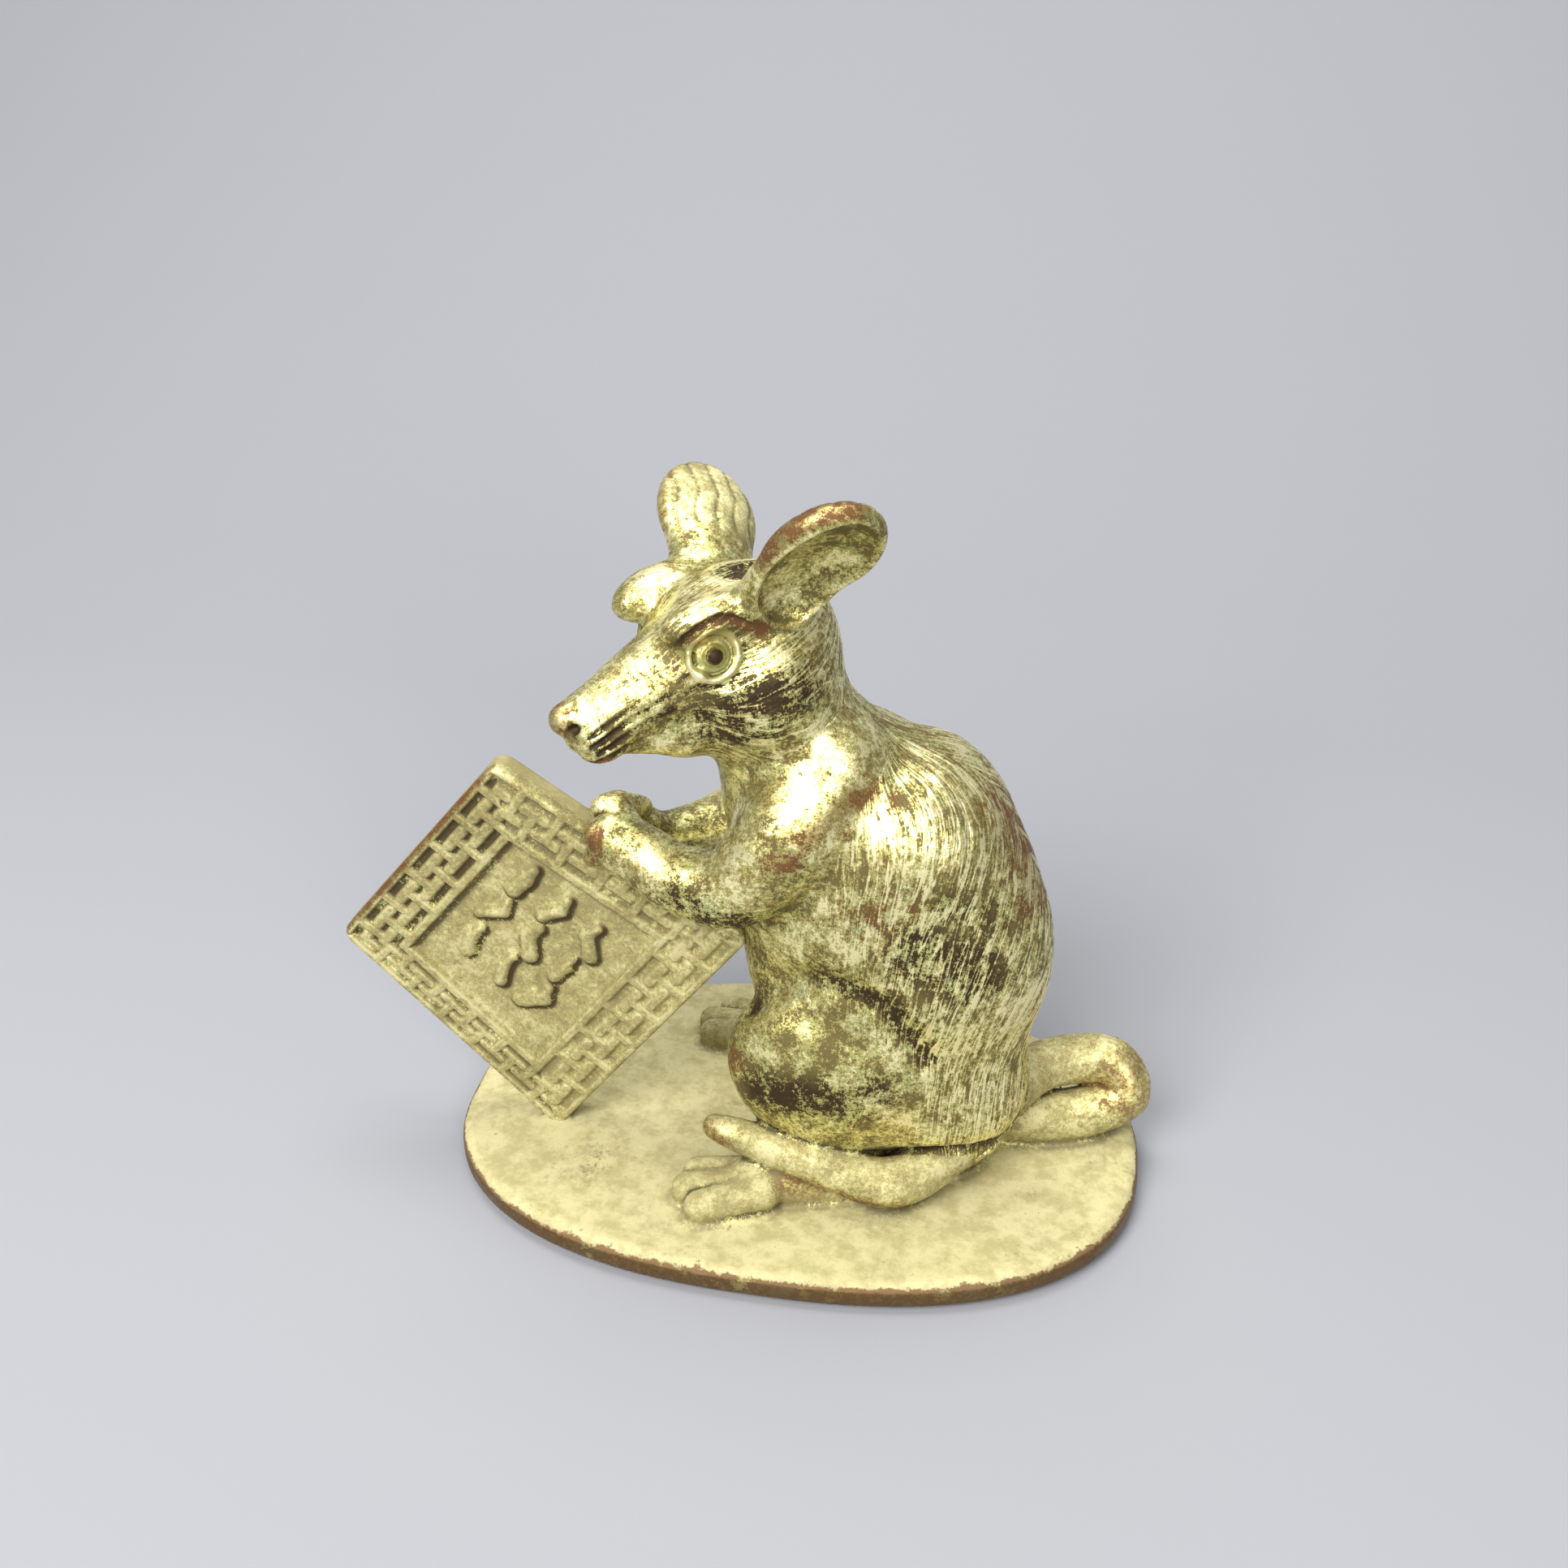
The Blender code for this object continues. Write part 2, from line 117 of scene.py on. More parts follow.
# One finger is its knuckle, its tip and its thickness there
NEAR_FINGERS = (
    ((-16.8, -7.6, 42.4), (-19.9, -6.6, 43.4), 1.35),
    ((-17.6, -9.2, 41.6), (-19.6, -9.3, 41.7), 1.75),
    ((-17.2, -10.0, 39.6), (-20.4, -8.9, 38.7), 1.25),
)
FAR_FINGERS = (
    ((-16.6, -3.4, 42.0), (-18.2, -5.4, 43.6), 1.3),
    ((-19.6, -1.0, 38.6), (-22.6, -2.6, 39.4), 1.2),
)

TABLET_STAND = np.array([-27.9, -1.3])
TABLET_CORNERS = ((0.0, 0.0), (23.7, 29.6), (-4.1, 48.4), (-24.3, 24.7))
TABLET_FRONT = -6.2
TABLET_THICKNESS = 3.9
TABLET_ROUNDING = 0.55
TABLET_CORNER_RADIUS = 1.6
RIM_LINE = 0.7
# Width of the border on each side, from the lower right side round
BORDER_WIDTHS = np.array([6.6, 6.2, 6.1, 4.5])
FRAME_WIDTH = 1.0
GROOVE_DEPTH = 0.55
PANEL_DEPTH = 0.95
STROKE_RISE = 0.75
RIDGE_WIDTH = 0.92
FRET_PITCH = 4.9


def length(v):
    return np.sqrt((v * v).sum(-1))


def unit_vector(v):
    v = np.asarray(v, float)
    return v / length(v)


def smooth_step(x, low, high):
    t = np.clip((x - low) / (high - low), 0.0, 1.0)
    return t * t * (3 - 2 * t)


# Distance to each form, less than zero inside it

def egg(p, centre, radii, axes=None):
    q = p - np.asarray(centre, float)
    if axes is not None:
        q = q @ axes.T
    r = np.asarray(radii, float)
    near = length(q / r)
    return near * (near - 1.0) / (length(q / r ** 2) + 1e-9)


def limb(p, start, end, start_radius, end_radius):
    a = np.asarray(start, float)
    along = np.asarray(end, float) - a
    q = p - a
    t = np.clip(q @ along / (along @ along), 0.0, 1.0)
    return length(q - t[:, None] * along) - (start_radius + t * (end_radius - start_radius))


def join(a, b, softness):
    h = np.clip(softness - np.abs(a - b), 0.0, None) / softness
    return np.minimum(a, b) - h * h * softness * 0.25


def cut(a, b, softness):
    return -join(-a, b, softness)


def smooth_route(points, steps=4):
    p = np.asarray(points, float)
    p = np.vstack([2 * p[0] - p[1], p, 2 * p[-1] - p[-2]])
    out = []
    for a, b, c, d in zip(p[:-3], p[1:-2], p[2:-1], p[3:]):
        for t in np.arange(steps) / steps:
            bend = 2 * b + (c - a) * t + (2 * a - 5 * b + 4 * c - d) * t ** 2
            out.append(0.5 * (bend + (3 * b - a - 3 * c + d) * t ** 3))
    out.append(p[-2])
    return np.array(out)


def tube(p, route, radius, steps=4):
    s = smooth_route(route, steps)
    d = np.full(len(p), FAR)
    for a, b in zip(s[:-1], s[1:]):
        d = np.minimum(d, limb(p, a[:3], b[:3], a[3] * radius, b[3] * radius))
    return d


def near_only(p, low, high, form):
    """The form where it can reach, and a large distance elsewhere."""
    d = np.full(len(p), FAR)
    inside = ((p > np.array(low)) & (p < np.array(high))).all(1)
    if inside.any():
        d[inside] = form(p[inside])
    return d


def body(p):
    d = egg(p, (11.3, MIDDLE, 27.5), (16.9, 11.8, 19.0))
    d = join(d, egg(p, (8.2, MIDDLE, 39.1), (15.2, 11.2, 12.2)), 5.0)
    d = join(d, egg(p, (14.5, MIDDLE, 9.0), (12.5, 10.8, 11.0)), 6.0)
    for side in (-1, 1):
        d = join(d, egg(p, (12.5, MIDDLE + 3.5 * side, 42.5), (9.0, 8.0, 8.5)), 3.0)
    return join(d, limb(p, (0.6, MIDDLE - 0.5, 49.5), (-5.4, -3.8, 62.3), 8.5, 6.5), 6.0)


def thigh(p, side):
    radii = np.array([11.8, 6.2, 11.0])
    d = egg(p, (5.6, MIDDLE + 7.2 * side, 15.3), radii)
    return join(d, egg(p, (6.6, MIDDLE + 6.6 * side, 3.4), radii * (0.78, 0.88, 0.55)), 3.0)


def foot(p, side, reach, out):
    """A long hind foot with three toes; reach and out shift its toes."""
    toe = TOE_RADIUS
    y = MIDDLE + side * (12.6 + out)
    d = limb(p, (6.0, MIDDLE + 9.6 * side, 1.9), (-2.6 - reach, y, 2.1), 1.58 * toe, 1.47 * toe)
    for spread, tip in ((-1.0, -9.0), (0.0, -9.6), (1.0, -7.6)):
        fan = spread * 1.42 * toe
        root = (-1.0 - reach, y + 0.55 * side * fan, 2.1)
        end = (tip - reach, y + side * (1.6 + fan), 1.4)
        d = join(d, limb(p, root, end, 1.05 * toe, 0.9 * toe), 0.5)
    web = egg(p, (-4.6 - reach, y + 0.9 * side, -0.4), (4.4, 1.9 * toe, 1.3))
    return join(d, web, 0.6)


def arm(p, route, fingers):
    d = tube(p, route, ARM_RADIUS)
    for knuckle, tip, radius in fingers:
        d = join(d, limb(p, knuckle, tip, radius, radius * 0.92), 0.35)
    return d


# The head has axes of its own: forward to the nose, to its near side, and up.
# Places on the head below are along those, for its near side.
HEAD_PLACE = np.array([-4.3, -3.0, 69.3])
NOSE_REACH = 21.0
EAR_ROOT = (0.3, 8.9, 0.3)
EAR_HALF = np.array([7.1, 5.5, 2.6])
EAR_MIDDLE = 5.6
EAR_HAIR = 0.15
VEIN_PITCH = 2.1
VEIN_DEPTH = 0.14


def head_axes():
    turn, nod, tilt = np.radians([41.0, 21.0, 10.0])
    forward = np.array([-np.cos(turn) * np.cos(nod), -np.sin(turn) * np.cos(nod), -np.sin(nod)])
    level = np.array([np.sin(turn), -np.cos(turn), 0.0])
    near = np.cos(tilt) * level + np.sin(tilt) * np.cross(forward, level)
    return np.array([forward, near, np.cross(forward, near)])


def on_side(point, side):
    """The point on the near side, or mirrored to the far one."""
    return np.array(point) * (1, side, 1)


def ear_axes(side):
    out = unit_vector((-0.50, 0.72 * side, 0.48))
    face = unit_vector((0.44, 0.69 * side, -0.57))
    across = np.cross(face, out)
    return np.array([out, across, np.cross(out, across)])


def ear(q, side):
    axes = ear_axes(side)
    root = on_side(EAR_ROOT, side)
    half = EAR_HALF
    middle = root + axes[0] * 0.79 * half[0]
    d = egg(q, middle, half, axes)
    d = join(d, egg(q, root - axes[0], half * (0.7, 0.8, 1.0), axes), 2.0)
    aside = axes[1] * (-0.35 if side > 0 else 0.35)
    hollow_middle = middle + axes[2] * 0.72 * half[2] - axes[0] * 1.3 + aside
    hollow = egg(q, hollow_middle, half * (1.08, 0.88, 1.05), axes)
    return cut(d, hollow, 0.5)


# Carved lines of the head: the points that one goes through, its radius and how wide it is dark
HEAD_LINES = (
    (((12.7, 5.2, -1.7), (12.2, 5.9, -0.8), (10.9, 7.0, 0.3), (7.7, 8.1, 0.8), (5.6, 8.2, -0.7),
      (4.2, 8.1, -2.2)), 0.75, 0.75),
    (((22.6, 3.1, -4.3), (19.8, 3.6, -3.9), (17.2, 4.1, -3.4)), 0.30, 0.32),
    (((22.8, 3.2, -5.2), (18.6, 3.8, -4.9), (14.4, 4.9, -4.3)), 0.44, 0.44),
    (((22.6, 3.3, -6.1), (18.4, 3.7, -6.0), (14.6, 4.6, -5.9)), 0.42, 0.44),
    (((23.2, 2.0, -6.6), (21.4, 3.2, -7.2), (18.6, 3.4, -7.4), (15.4, 4.2, -7.4), (12.4, 5.4, -7.9)),
     0.55, 0.62),
)
# The lines and the eye are worked out only this near to the plain head
LINE_REACH = 2.6
EYE_CENTRE = (9.0, 5.2, -2.6)
EYE_AXIS = (0.10, 0.99, 0.12)
EYE_RADIUS = 2.05
LID_RADIUS = 2.42
LID_HEIGHT = 1.15
TEAR_DUCT = ((10.9, 5.9, -3.6), (13.0, 4.7, -4.3))
LID_THICKNESS = 0.38
NOSTRIL = (23.4, 1.9, -3.2)
BROW_REACH = 1.25


def mirrored(points, side, radius):
    """The points on one side of the head, with a radius that tapers at both ends."""
    taper = 0.45 + 0.55 * np.sin(np.linspace(0.0, np.pi, len(points)))
    return [(x, y * side, z, radius * t) for (x, y, z), t in zip(points, taper)]


def head(p):
    q = (p - HEAD_PLACE) @ head_axes().T
    nose = NOSE_REACH
    d = egg(q, (3.0, 0, -6.6), (8.6, 8.2, 7.9))
    d = join(d, limb(q, (8, 0, -4.6), (nose, 0, -4.0), 6.0, 3.1), 4.0)
    jaw = limb(q, (nose - 2.0, 0, -7.0), (13.0, 0, -9.3), 2.0, 3.5)
    d = join(d, join(jaw, limb(q, (13.0, 0, -9.3), (6.0, 0, -10.7), 3.5, 4.8), 1.0), 1.2)
    d = join(d, egg(q, (nose + 2.2, 0, -2.6), (1.6, 1.7, 1.6)), 0.8)
    for side in (1, -1):
        d = join(d, egg(q, (5.0, 5.0 * side, -9.3), (6.0, 4.2, 5.2)), 2.5)
        d = join(d, egg(q, (nose, 1.7 * side, -5.6), (3.0, 1.9, 2.4)), 1.0)
        ridge_axis = unit_vector((1.0, -0.22 * side, 0.2))
        slope = 0.22 * ridge_axis[0] + side * ridge_axis[1]
        out = unit_vector(np.array([0.22, side, 0.0]) - ridge_axis * slope)
        axes = np.array([ridge_axis, out, np.cross(ridge_axis, out)])
        swell = 0.7 if side < 0 else 0.0
        brow = (7.6, (5.7 + swell) * side, 0.5 + swell)
        d = join(d, egg(q, brow, (5.0 + 0.5 * swell, 2.7 + 0.4 * swell, 2.3 + 0.5 * swell), axes), 2.0)
        d = cut(d, egg(q, (9.0, 8.1 * side, -2.8), (3.6, 1.9, 3.0)), 1.0)
        near_skin = (np.abs(d) < LINE_REACH) & (q[:, 1] * side > 0)
        d[near_skin] = carve_lines(d[near_skin], q[near_skin], side)
    for side in (1, -1):
        d = join(d, ear(q, side), 1.6)
    return d


def carve_lines(d, q, side):
    """The eye and the carved lines, on one side of the head."""
    d = eye(d, q, side)
    for points, radius, _ in HEAD_LINES:
        d = cut(d, tube(q, mirrored(points, side, 1.0), radius, 2), 0.3)
    return cut(d, egg(q, on_side(NOSTRIL, side), (0.8, 0.6, 0.5)), 0.3)


def eye_parts(q, side):
    """Where q lies against the eye's middle: along its axis and out from it."""
    centre = on_side(EYE_CENTRE, side)
    axis = unit_vector(on_side(EYE_AXIS, side))
    v = q - centre
    height = v @ axis
    return centre, height, length(v - height[:, None] * axis)


def eye(d, q, side):
    """A ball with a domed pupil, in a raised ring of lids drawn out a little toward the nose."""
    centre, height, flat = eye_parts(q, side)
    lid = np.sqrt((flat - LID_RADIUS) ** 2 + (height - LID_HEIGHT) ** 2) - LID_THICKNESS
    tear_duct = [on_side(point, side) for point in TEAR_DUCT]
    lid = join(lid, limb(q, *tear_duct, 0.8, 0.3), 0.5)
    d = join(d, lid, 0.4)
    ball = length(q - centre) - EYE_RADIUS
    iris = np.sqrt((flat - 1.30) ** 2 + (height - EYE_RADIUS + 0.42) ** 2) - 0.22
    pupil_centre = centre + unit_vector(on_side(EYE_AXIS, side)) * (EYE_RADIUS - 0.25)
    pupil = egg(q, pupil_centre, (0.85, 0.65, 0.85))
    ball = join(cut(ball, iris, 0.1), pupil, 0.1)
    return join(d, ball, 0.08)


def rat(p):
    d = near_only(p, (-14, -22, -9), (36, 18, 70), body)
    for side, reach, out in FEET:
        d = join(d, near_only(p, (-12, -22, -2), (24, 18, 33), lambda q: thigh(q, side)), 1.6)
        crease = [(x, MIDDLE + y * side, z, r) for x, y, z, r in HAUNCH_CREASE]
        groove = near_only(p, (-8, -20, 14), (20, 16, 33), lambda q: tube(q, crease, CREASE_RADIUS, 2))
        d = cut(d, groove, 1.6)
        leg = near_only(p, (-20, -26, -6), (16, 26, 14), lambda q: foot(q, side, reach, out))
        d = join(d, leg, 1.0)
    for route, fingers in ((NEAR_ARM_ROUTE, NEAR_FINGERS), (FAR_ARM_ROUTE, FAR_FINGERS)):
        limbs = near_only(p, (-28, -24, 28), (20, 16, 60), lambda q: arm(q, route, fingers))
        d = join(d, limbs, 2.0)
    d = join(d, near_only(p, (-34, -30, 45), (18, 24, 84), head), 4.0)
    nest_route = TAIL_ROUTE[NEST_START:NEST_END]
    nest = near_only(p, (6, -20, -4), (40, 14, 18), lambda q: tube(q, nest_route, TAIL_RADIUS, 2) - NEST_GAP)
    rump_place = (12.5, MIDDLE + 1.0, 2.0)
    rump = near_only(p, (0, -14, -8), (26, 12, 12), lambda q: egg(q, rump_place, (9.5, 8.0, 7.0)))
    tail = near_only(p, (-14, -24, -6), (46, 14, 20), lambda q: tube(q, TAIL_ROUTE, TAIL_RADIUS, 3))
    return join(join(cut(d, nest, 2.5), rump, 2.0), tail, 0.7)


def base(p):
    half_x, half_y = BASE_LENGTH / 2, BASE_WIDTH / 2
    n = BASE_SQUARENESS
    x, y = np.abs(p[:, 0]) / half_x, np.abs(p[:, 1]) / half_y
    g = (x ** n + y ** n + 1e-9) ** (1 / n)
    slope = np.sqrt(((x / g) ** (n - 1) / half_x) ** 2 + ((y / g) ** (n - 1) / half_y) ** 2)
    side = (g - 1) / slope + RIM_RADIUS
    top = p[:, 2] - uneven(p) + RIM_RADIUS
    under = -BASE_THICKNESS - p[:, 2] + RIM_RADIUS
    flat = np.maximum(top, under)
    rounded = np.sqrt(np.maximum(side, 0) ** 2 + np.maximum(flat, 0) ** 2)
    return np.minimum(np.maximum(side, flat), 0) + rounded - RIM_RADIUS


def uneven(p):
    """The base's top isn't quite level: low waves, up to a quarter of a millimetre."""
    x, y = p[:, 0], p[:, 1]
    waves = np.sin(0.21 * x + 0.9) * np.cos(0.33 * y + 0.4) + 0.6 * np.sin(0.37 * x - 0.29 * y)
    return 0.11 * waves - 0.08


# The tablet, flat and upright, with a fret round a sunk panel

def tablet_corners():
    return [TABLET_STAND + np.array(c) for c in TABLET_CORNERS]


def tablet_sides(x, z):
    """How far inside each side, which side is nearest by its border, and how far along that side."""
    corners = tablet_corners()
    inside, along = [], []
    for k in range(4):
        a, b = corners[k], corners[(k + 1) % 4]
        e = unit_vector(b - a)
        inside.append((x - a[0]) * -e[1] + (z - a[1]) * e[0])
        along.append(((x - a[0]) * e[0] + (z - a[1]) * e[1]) - length(b - a) / 2)
    inside, along = np.array(inside), np.array(along)
    nearest = (inside / BORDER_WIDTHS[:, None]).argmin(0)
    pick = (nearest, np.arange(len(x)))
    return inside, inside[pick], nearest, along[pick]


def tablet_outline(inside):
    """Signed distance in the tablet's plane, its corners rounded."""
    r = TABLET_CORNER_RADIUS
    d = np.full(inside.shape[1], -FAR)
    for k in range(4):
        a, b = r - inside[k], r - inside[(k + 1) % 4]
        both = np.sqrt(np.maximum(a, 0) ** 2 + np.maximum(b, 0) ** 2) + np.minimum(np.maximum(a, b), 0) - r
        d = np.maximum(d, both)
    return d


def ridge(distance, width=RIDGE_WIDTH):
    """One on the line, falling to zero beside it."""
    return 1.0 - smooth_step(distance, 0.32 * width, 0.85 * width)


def bar(u, v, u0, v0, u1, v1):
    """Distance in the plane to a straight bar between two points."""
    e = np.array([u1 - u0, v1 - v0])
    t = np.clip(((u - u0) * e[0] + (v - v0) * e[1]) / (e @ e), 0, 1)
    return np.hypot(u - u0 - t * e[0], v - v0 - t * e[1])


def fret(along, inside, band):
    """Interlocking T's: one stands on the inner frame, the next hangs from the rim."""
    cell = (along / FRET_PITCH + 0.25) % 1.0
    v = (inside - RIM_LINE) / (band - RIM_LINE)
    depth = 4.6
    v = v * depth
    reach = 0.29 * FRET_PITCH
    d = np.full(len(along), FAR)
    for middle, root, tip in ((0.25, 1.0, 0.33), (0.75, 0.0, 0.67), (-0.25, 0.0, 0.67), (1.25, 1.0, 0.33)):
        u = (cell - middle) * FRET_PITCH
        d = np.minimum(d, bar(u, v, 0, root * depth, 0, tip * depth))
        d = np.minimum(d, bar(u, v, -reach, tip * depth, reach, tip * depth))
    return d


def panel_strokes(x, z):
    """Three rows of shallow raised strokes in the middle of the tablet, as one distance."""
    corners = tablet_corners()
    middle = sum(corners) / 4 + np.array([-0.4, 0.6])
    row = unit_vector(corners[1] - corners[0])
    column = np.array([-row[1], row[0]])
    u = (x - middle[0]) * row[0] + (z - middle[1]) * row[1]
    v = (x - middle[0]) * column[0] + (z - middle[1]) * column[1]
    d = np.full(len(x), FAR)
    for r in (-1, 0, 1):
        for c in (-1, 0, 1):
            u0, v0 = 5.4 * c + 0.5 * r, 5.0 * r
            lean = 1.3 * np.cos(2.3 * r + 1.7 * c + 0.6)
            thick = 0.45 + 0.35 * np.cos(1.3 * r + 2.1 * c) ** 2
            first = bar(u, v, u0 - 1.9, v0 - lean, u0 + 0.2, v0 + 0.5 * lean) - thick
            second = bar(u, v, u0 + 0.2, v0 + 0.5 * lean, u0 + 1.8, v0 + 0.2 * lean) - 0.65 * thick
            d = np.minimum(d, join(first, second, 0.5))
    return d


def tablet_depth(x, z, inside, nearest, along):
    """How far the front lies below the top of its lines."""
    band = BORDER_WIDTHS[nearest]
    past = inside - band
    rim = 1.0 - smooth_step(inside, RIM_LINE, RIM_LINE + 0.45)
    frame_line = ridge(np.abs(past - 0.35), FRAME_WIDTH)
    keys = np.where((inside > RIM_LINE) & (past < 0), ridge(fret(along, inside, band)), 0.0)
    worn = 0.05 * np.sin(0.9 * x + 0.4 * z) * np.sin(0.7 * z - 0.3 * x)
    worn += 0.03 * np.sin(2.3 * x) * np.sin(2.1 * z)
    border = GROOVE_DEPTH * (1 - np.maximum.reduce([rim, frame_line, keys]))
    strokes = STROKE_RISE * (1.0 - smooth_step(panel_strokes(x, z), -0.45, 0.75))
    panel = PANEL_DEPTH - strokes + worn
    sunk = smooth_step(past, 0.6, 1.5)
    return np.where(past > 0.35, border * (1 - sunk) + panel * sunk, border) + 0.5 * worn * (1 - rim)


def tablet(p):
    x, y, z = p.T
    inside, near, side, along = tablet_sides(x, z)
    front = TABLET_FRONT + tablet_depth(x, z, near, side, along)
    r = TABLET_ROUNDING
    flat = np.maximum(front - y, y - TABLET_FRONT - TABLET_THICKNESS) + r
    edge = tablet_outline(inside) + r
    rounded = np.sqrt(np.maximum(edge, 0) ** 2 + np.maximum(flat, 0) ** 2)
    return np.minimum(np.maximum(edge, flat), 0) + rounded - r


def tablet_core(p):
    """A plain slab inside the tablet, for the soft joints around it."""
    inside = tablet_sides(p[:, 0], p[:, 2])[0]
    edge = tablet_outline(inside) + 0.35
    front = TABLET_FRONT + PANEL_DEPTH + 0.2
    back = TABLET_FRONT + TABLET_THICKNESS - 0.25
    flat = np.maximum(front - p[:, 1], p[:, 1] - back)
    return np.maximum(edge, flat)


def figure(p):
    sunk_rat = np.maximum(rat(p), -SUNK - p[:, 2])
    d = join(sunk_rat, base(p), 1.3)
    return join(d, near_only(p, (-56, -12, -4), (2, 4, 52), tablet_core), 1.1)


def layer(low, high):
    """The figure between two heights."""
    def field(p):
        return np.maximum(figure(p), np.maximum(low - p[:, 2], p[:, 2] - high))
    return field


# Closed skin of a distance field, sampled on a grid: a point in each cell that it crosses

def sample(field, low, high, step, block=5):
    cells = (np.ceil((high - low) / (step * block)) * block).astype(int)
    centres = [low[k] + step * block * (np.arange(cells[k] // block) + 0.5) for k in range(3)]
    coarse = field(np.stack(np.meshgrid(*centres, indexing="ij"), -1).reshape(-1, 3))
    coarse = coarse.reshape([len(c) for c in centres])
    values = (np.sign(coarse) * FAR).astype(np.float32)
    for axis in range(3):
        values = np.repeat(values, block, axis)
    values = np.pad(values, ((0, 1),) * 3, mode="edge")
    offsets = np.indices((block + 1,) * 3).reshape(3, -1).T
    reach = 0.9 * step * block * np.sqrt(3) + 0.4
    starts = np.argwhere(np.abs(coarse) < reach) * block
    for chunk in np.array_split(starts, max(1, len(starts) // 600)):
        cell = (chunk[:, None] + offsets).reshape(-1, 3)
        values[tuple(cell.T)] = field(low + step * cell)
    return values


def skin(values, low, step):
    inside = values < 0
    corners = np.indices((2, 2, 2)).reshape(3, -1).T
    shape = np.array(values.shape) - 1
    count = np.zeros(shape, np.int8)
    for c in corners:
        count += inside[tuple(slice(k, k + n) for k, n in zip(c, shape))]
    cells = np.argwhere((count > 0) & (count < 8))
    number = np.full(shape, -1)
    number[tuple(cells.T)] = np.arange(len(cells))
    total = np.zeros((len(cells), 3))
    hits = np.zeros(len(cells))
    faces = []
    for axis in range(3):
        along = np.eye(3, dtype=int)[axis]
        u, v = np.eye(3, dtype=int)[[k for k in range(3) if k != axis]]
        for corner in (0 * u, u, v, u + v):
            a = values[tuple((cells + corner).T)]
            b = values[tuple((cells + corner + along).T)]
            crossed = (a < 0) != (b < 0)
            t = a[crossed] / (a[crossed] - b[crossed])
            total[crossed] += cells[crossed] + corner + t[:, None] * along
            hits[crossed] += 1
        ends = inside[tuple(slice(s, None) for s in along)]
        starts = inside[tuple(slice(0, n - s) for s, n in zip(along, inside.shape))]
        edges = np.argwhere(starts != ends)
        rings = np.stack([number[tuple((edges - o).T)] for o in (u + v, v, 0 * u, u)], 1)
        outward = inside[tuple(edges.T)] == (axis != 1)
        rings[~outward] = rings[~outward][:, ::-1]
        faces.append(rings)
    return low + step * total / hits[:, None], np.vstack(faces)


def in_chunks(field, p, size=60000):
    return np.concatenate([field(p[k:k + size]) for k in range(0, len(p), size)])


def slope_and_bend(field, p, reach):
    """The field's slope, and its bend: more than zero on edges that stand out, less in hollows."""
    ahead = np.stack([in_chunks(field, p + reach * axis) for axis in np.eye(3)], 1)
    behind = np.stack([in_chunks(field, p - reach * axis) for axis in np.eye(3)], 1)
    bend = (ahead + behind).sum(1) - 6 * in_chunks(field, p)
    return (ahead - behind) / (2 * reach), bend / reach ** 2


def settle(field, p, rounds=2, reach=0.05):
    """Moves points onto the field's surface."""
    corners = np.array([(1, 1, 1), (1, -1, -1), (-1, 1, -1), (-1, -1, 1)])
    around = np.stack([in_chunks(field, p + reach * c) for c in corners], 1)
    slope = around @ corners / (4 * reach)
    steepness = np.maximum((slope ** 2).sum(1), 0.2)
    for _ in range(rounds):
        steps = in_chunks(field, p) / steepness
        p = p - np.clip(steps, -0.3, 0.3)[:, None] * slope
    return p


def build_mesh(name, verts, faces):
    mesh = bpy.data.meshes.new(name)
    mesh.vertices.add(len(verts))
    mesh.vertices.foreach_set("co", verts.astype(np.float32).ravel())
    sides = faces.shape[1]
    mesh.loops.add(len(faces) * sides)
    mesh.loops.foreach_set("vertex_index", faces.astype(np.int32).ravel())
    mesh.polygons.add(len(faces))
    mesh.polygons.foreach_set("loop_start", np.arange(0, len(faces) * sides, sides, dtype=np.int32))
    mesh.update(calc_edges=True)
    mesh.shade_smooth()
    thing = bpy.data.objects.new(name, mesh)
    bpy.context.collection.objects.link(thing)
    return thing


def carved(field, name, low, high, step, triangles):
    low, high = np.array(low, float), np.array(high, float)
    verts, faces = skin(sample(field, low, high, step), low, step)
    thing = build_mesh(name, verts, faces)
    if triangles < 2 * len(faces):
        thin = thing.modifiers.new("thin", "DECIMATE")
        thin.ratio = triangles / (2 * len(faces))
        shaped = thing.evaluated_get(bpy.context.evaluated_depsgraph_get())
        mesh = bpy.data.meshes.new_from_object(shaped)
        thing.modifiers.clear()
        thing.data = mesh
    move_points(thing, settle(field, points_of(thing)))
    return thing


def points_of(thing):
    flat = np.empty(3 * len(thing.data.vertices), np.float32)
    thing.data.vertices.foreach_get("co", flat)
    return flat.reshape(-1, 3).astype(float)


def move_points(thing, p):
    thing.data.vertices.foreach_set("co", p.astype(np.float32).ravel())
    thing.data.update()


def store(thing, name, values):
    kind = "FLOAT_VECTOR" if values.ndim == 2 else "FLOAT"
    attribute = thing.data.attributes.new(name, kind, "POINT")
    attribute.data.foreach_set("vector" if values.ndim == 2 else "value", values.astype(np.float32).ravel())


# Where the fur runs: along is down the body, back over the head and out along each limb.
# The tail and the feet are these in the list of parts that a point can lie on.
ON_TAIL, ON_FEET = 4, 5


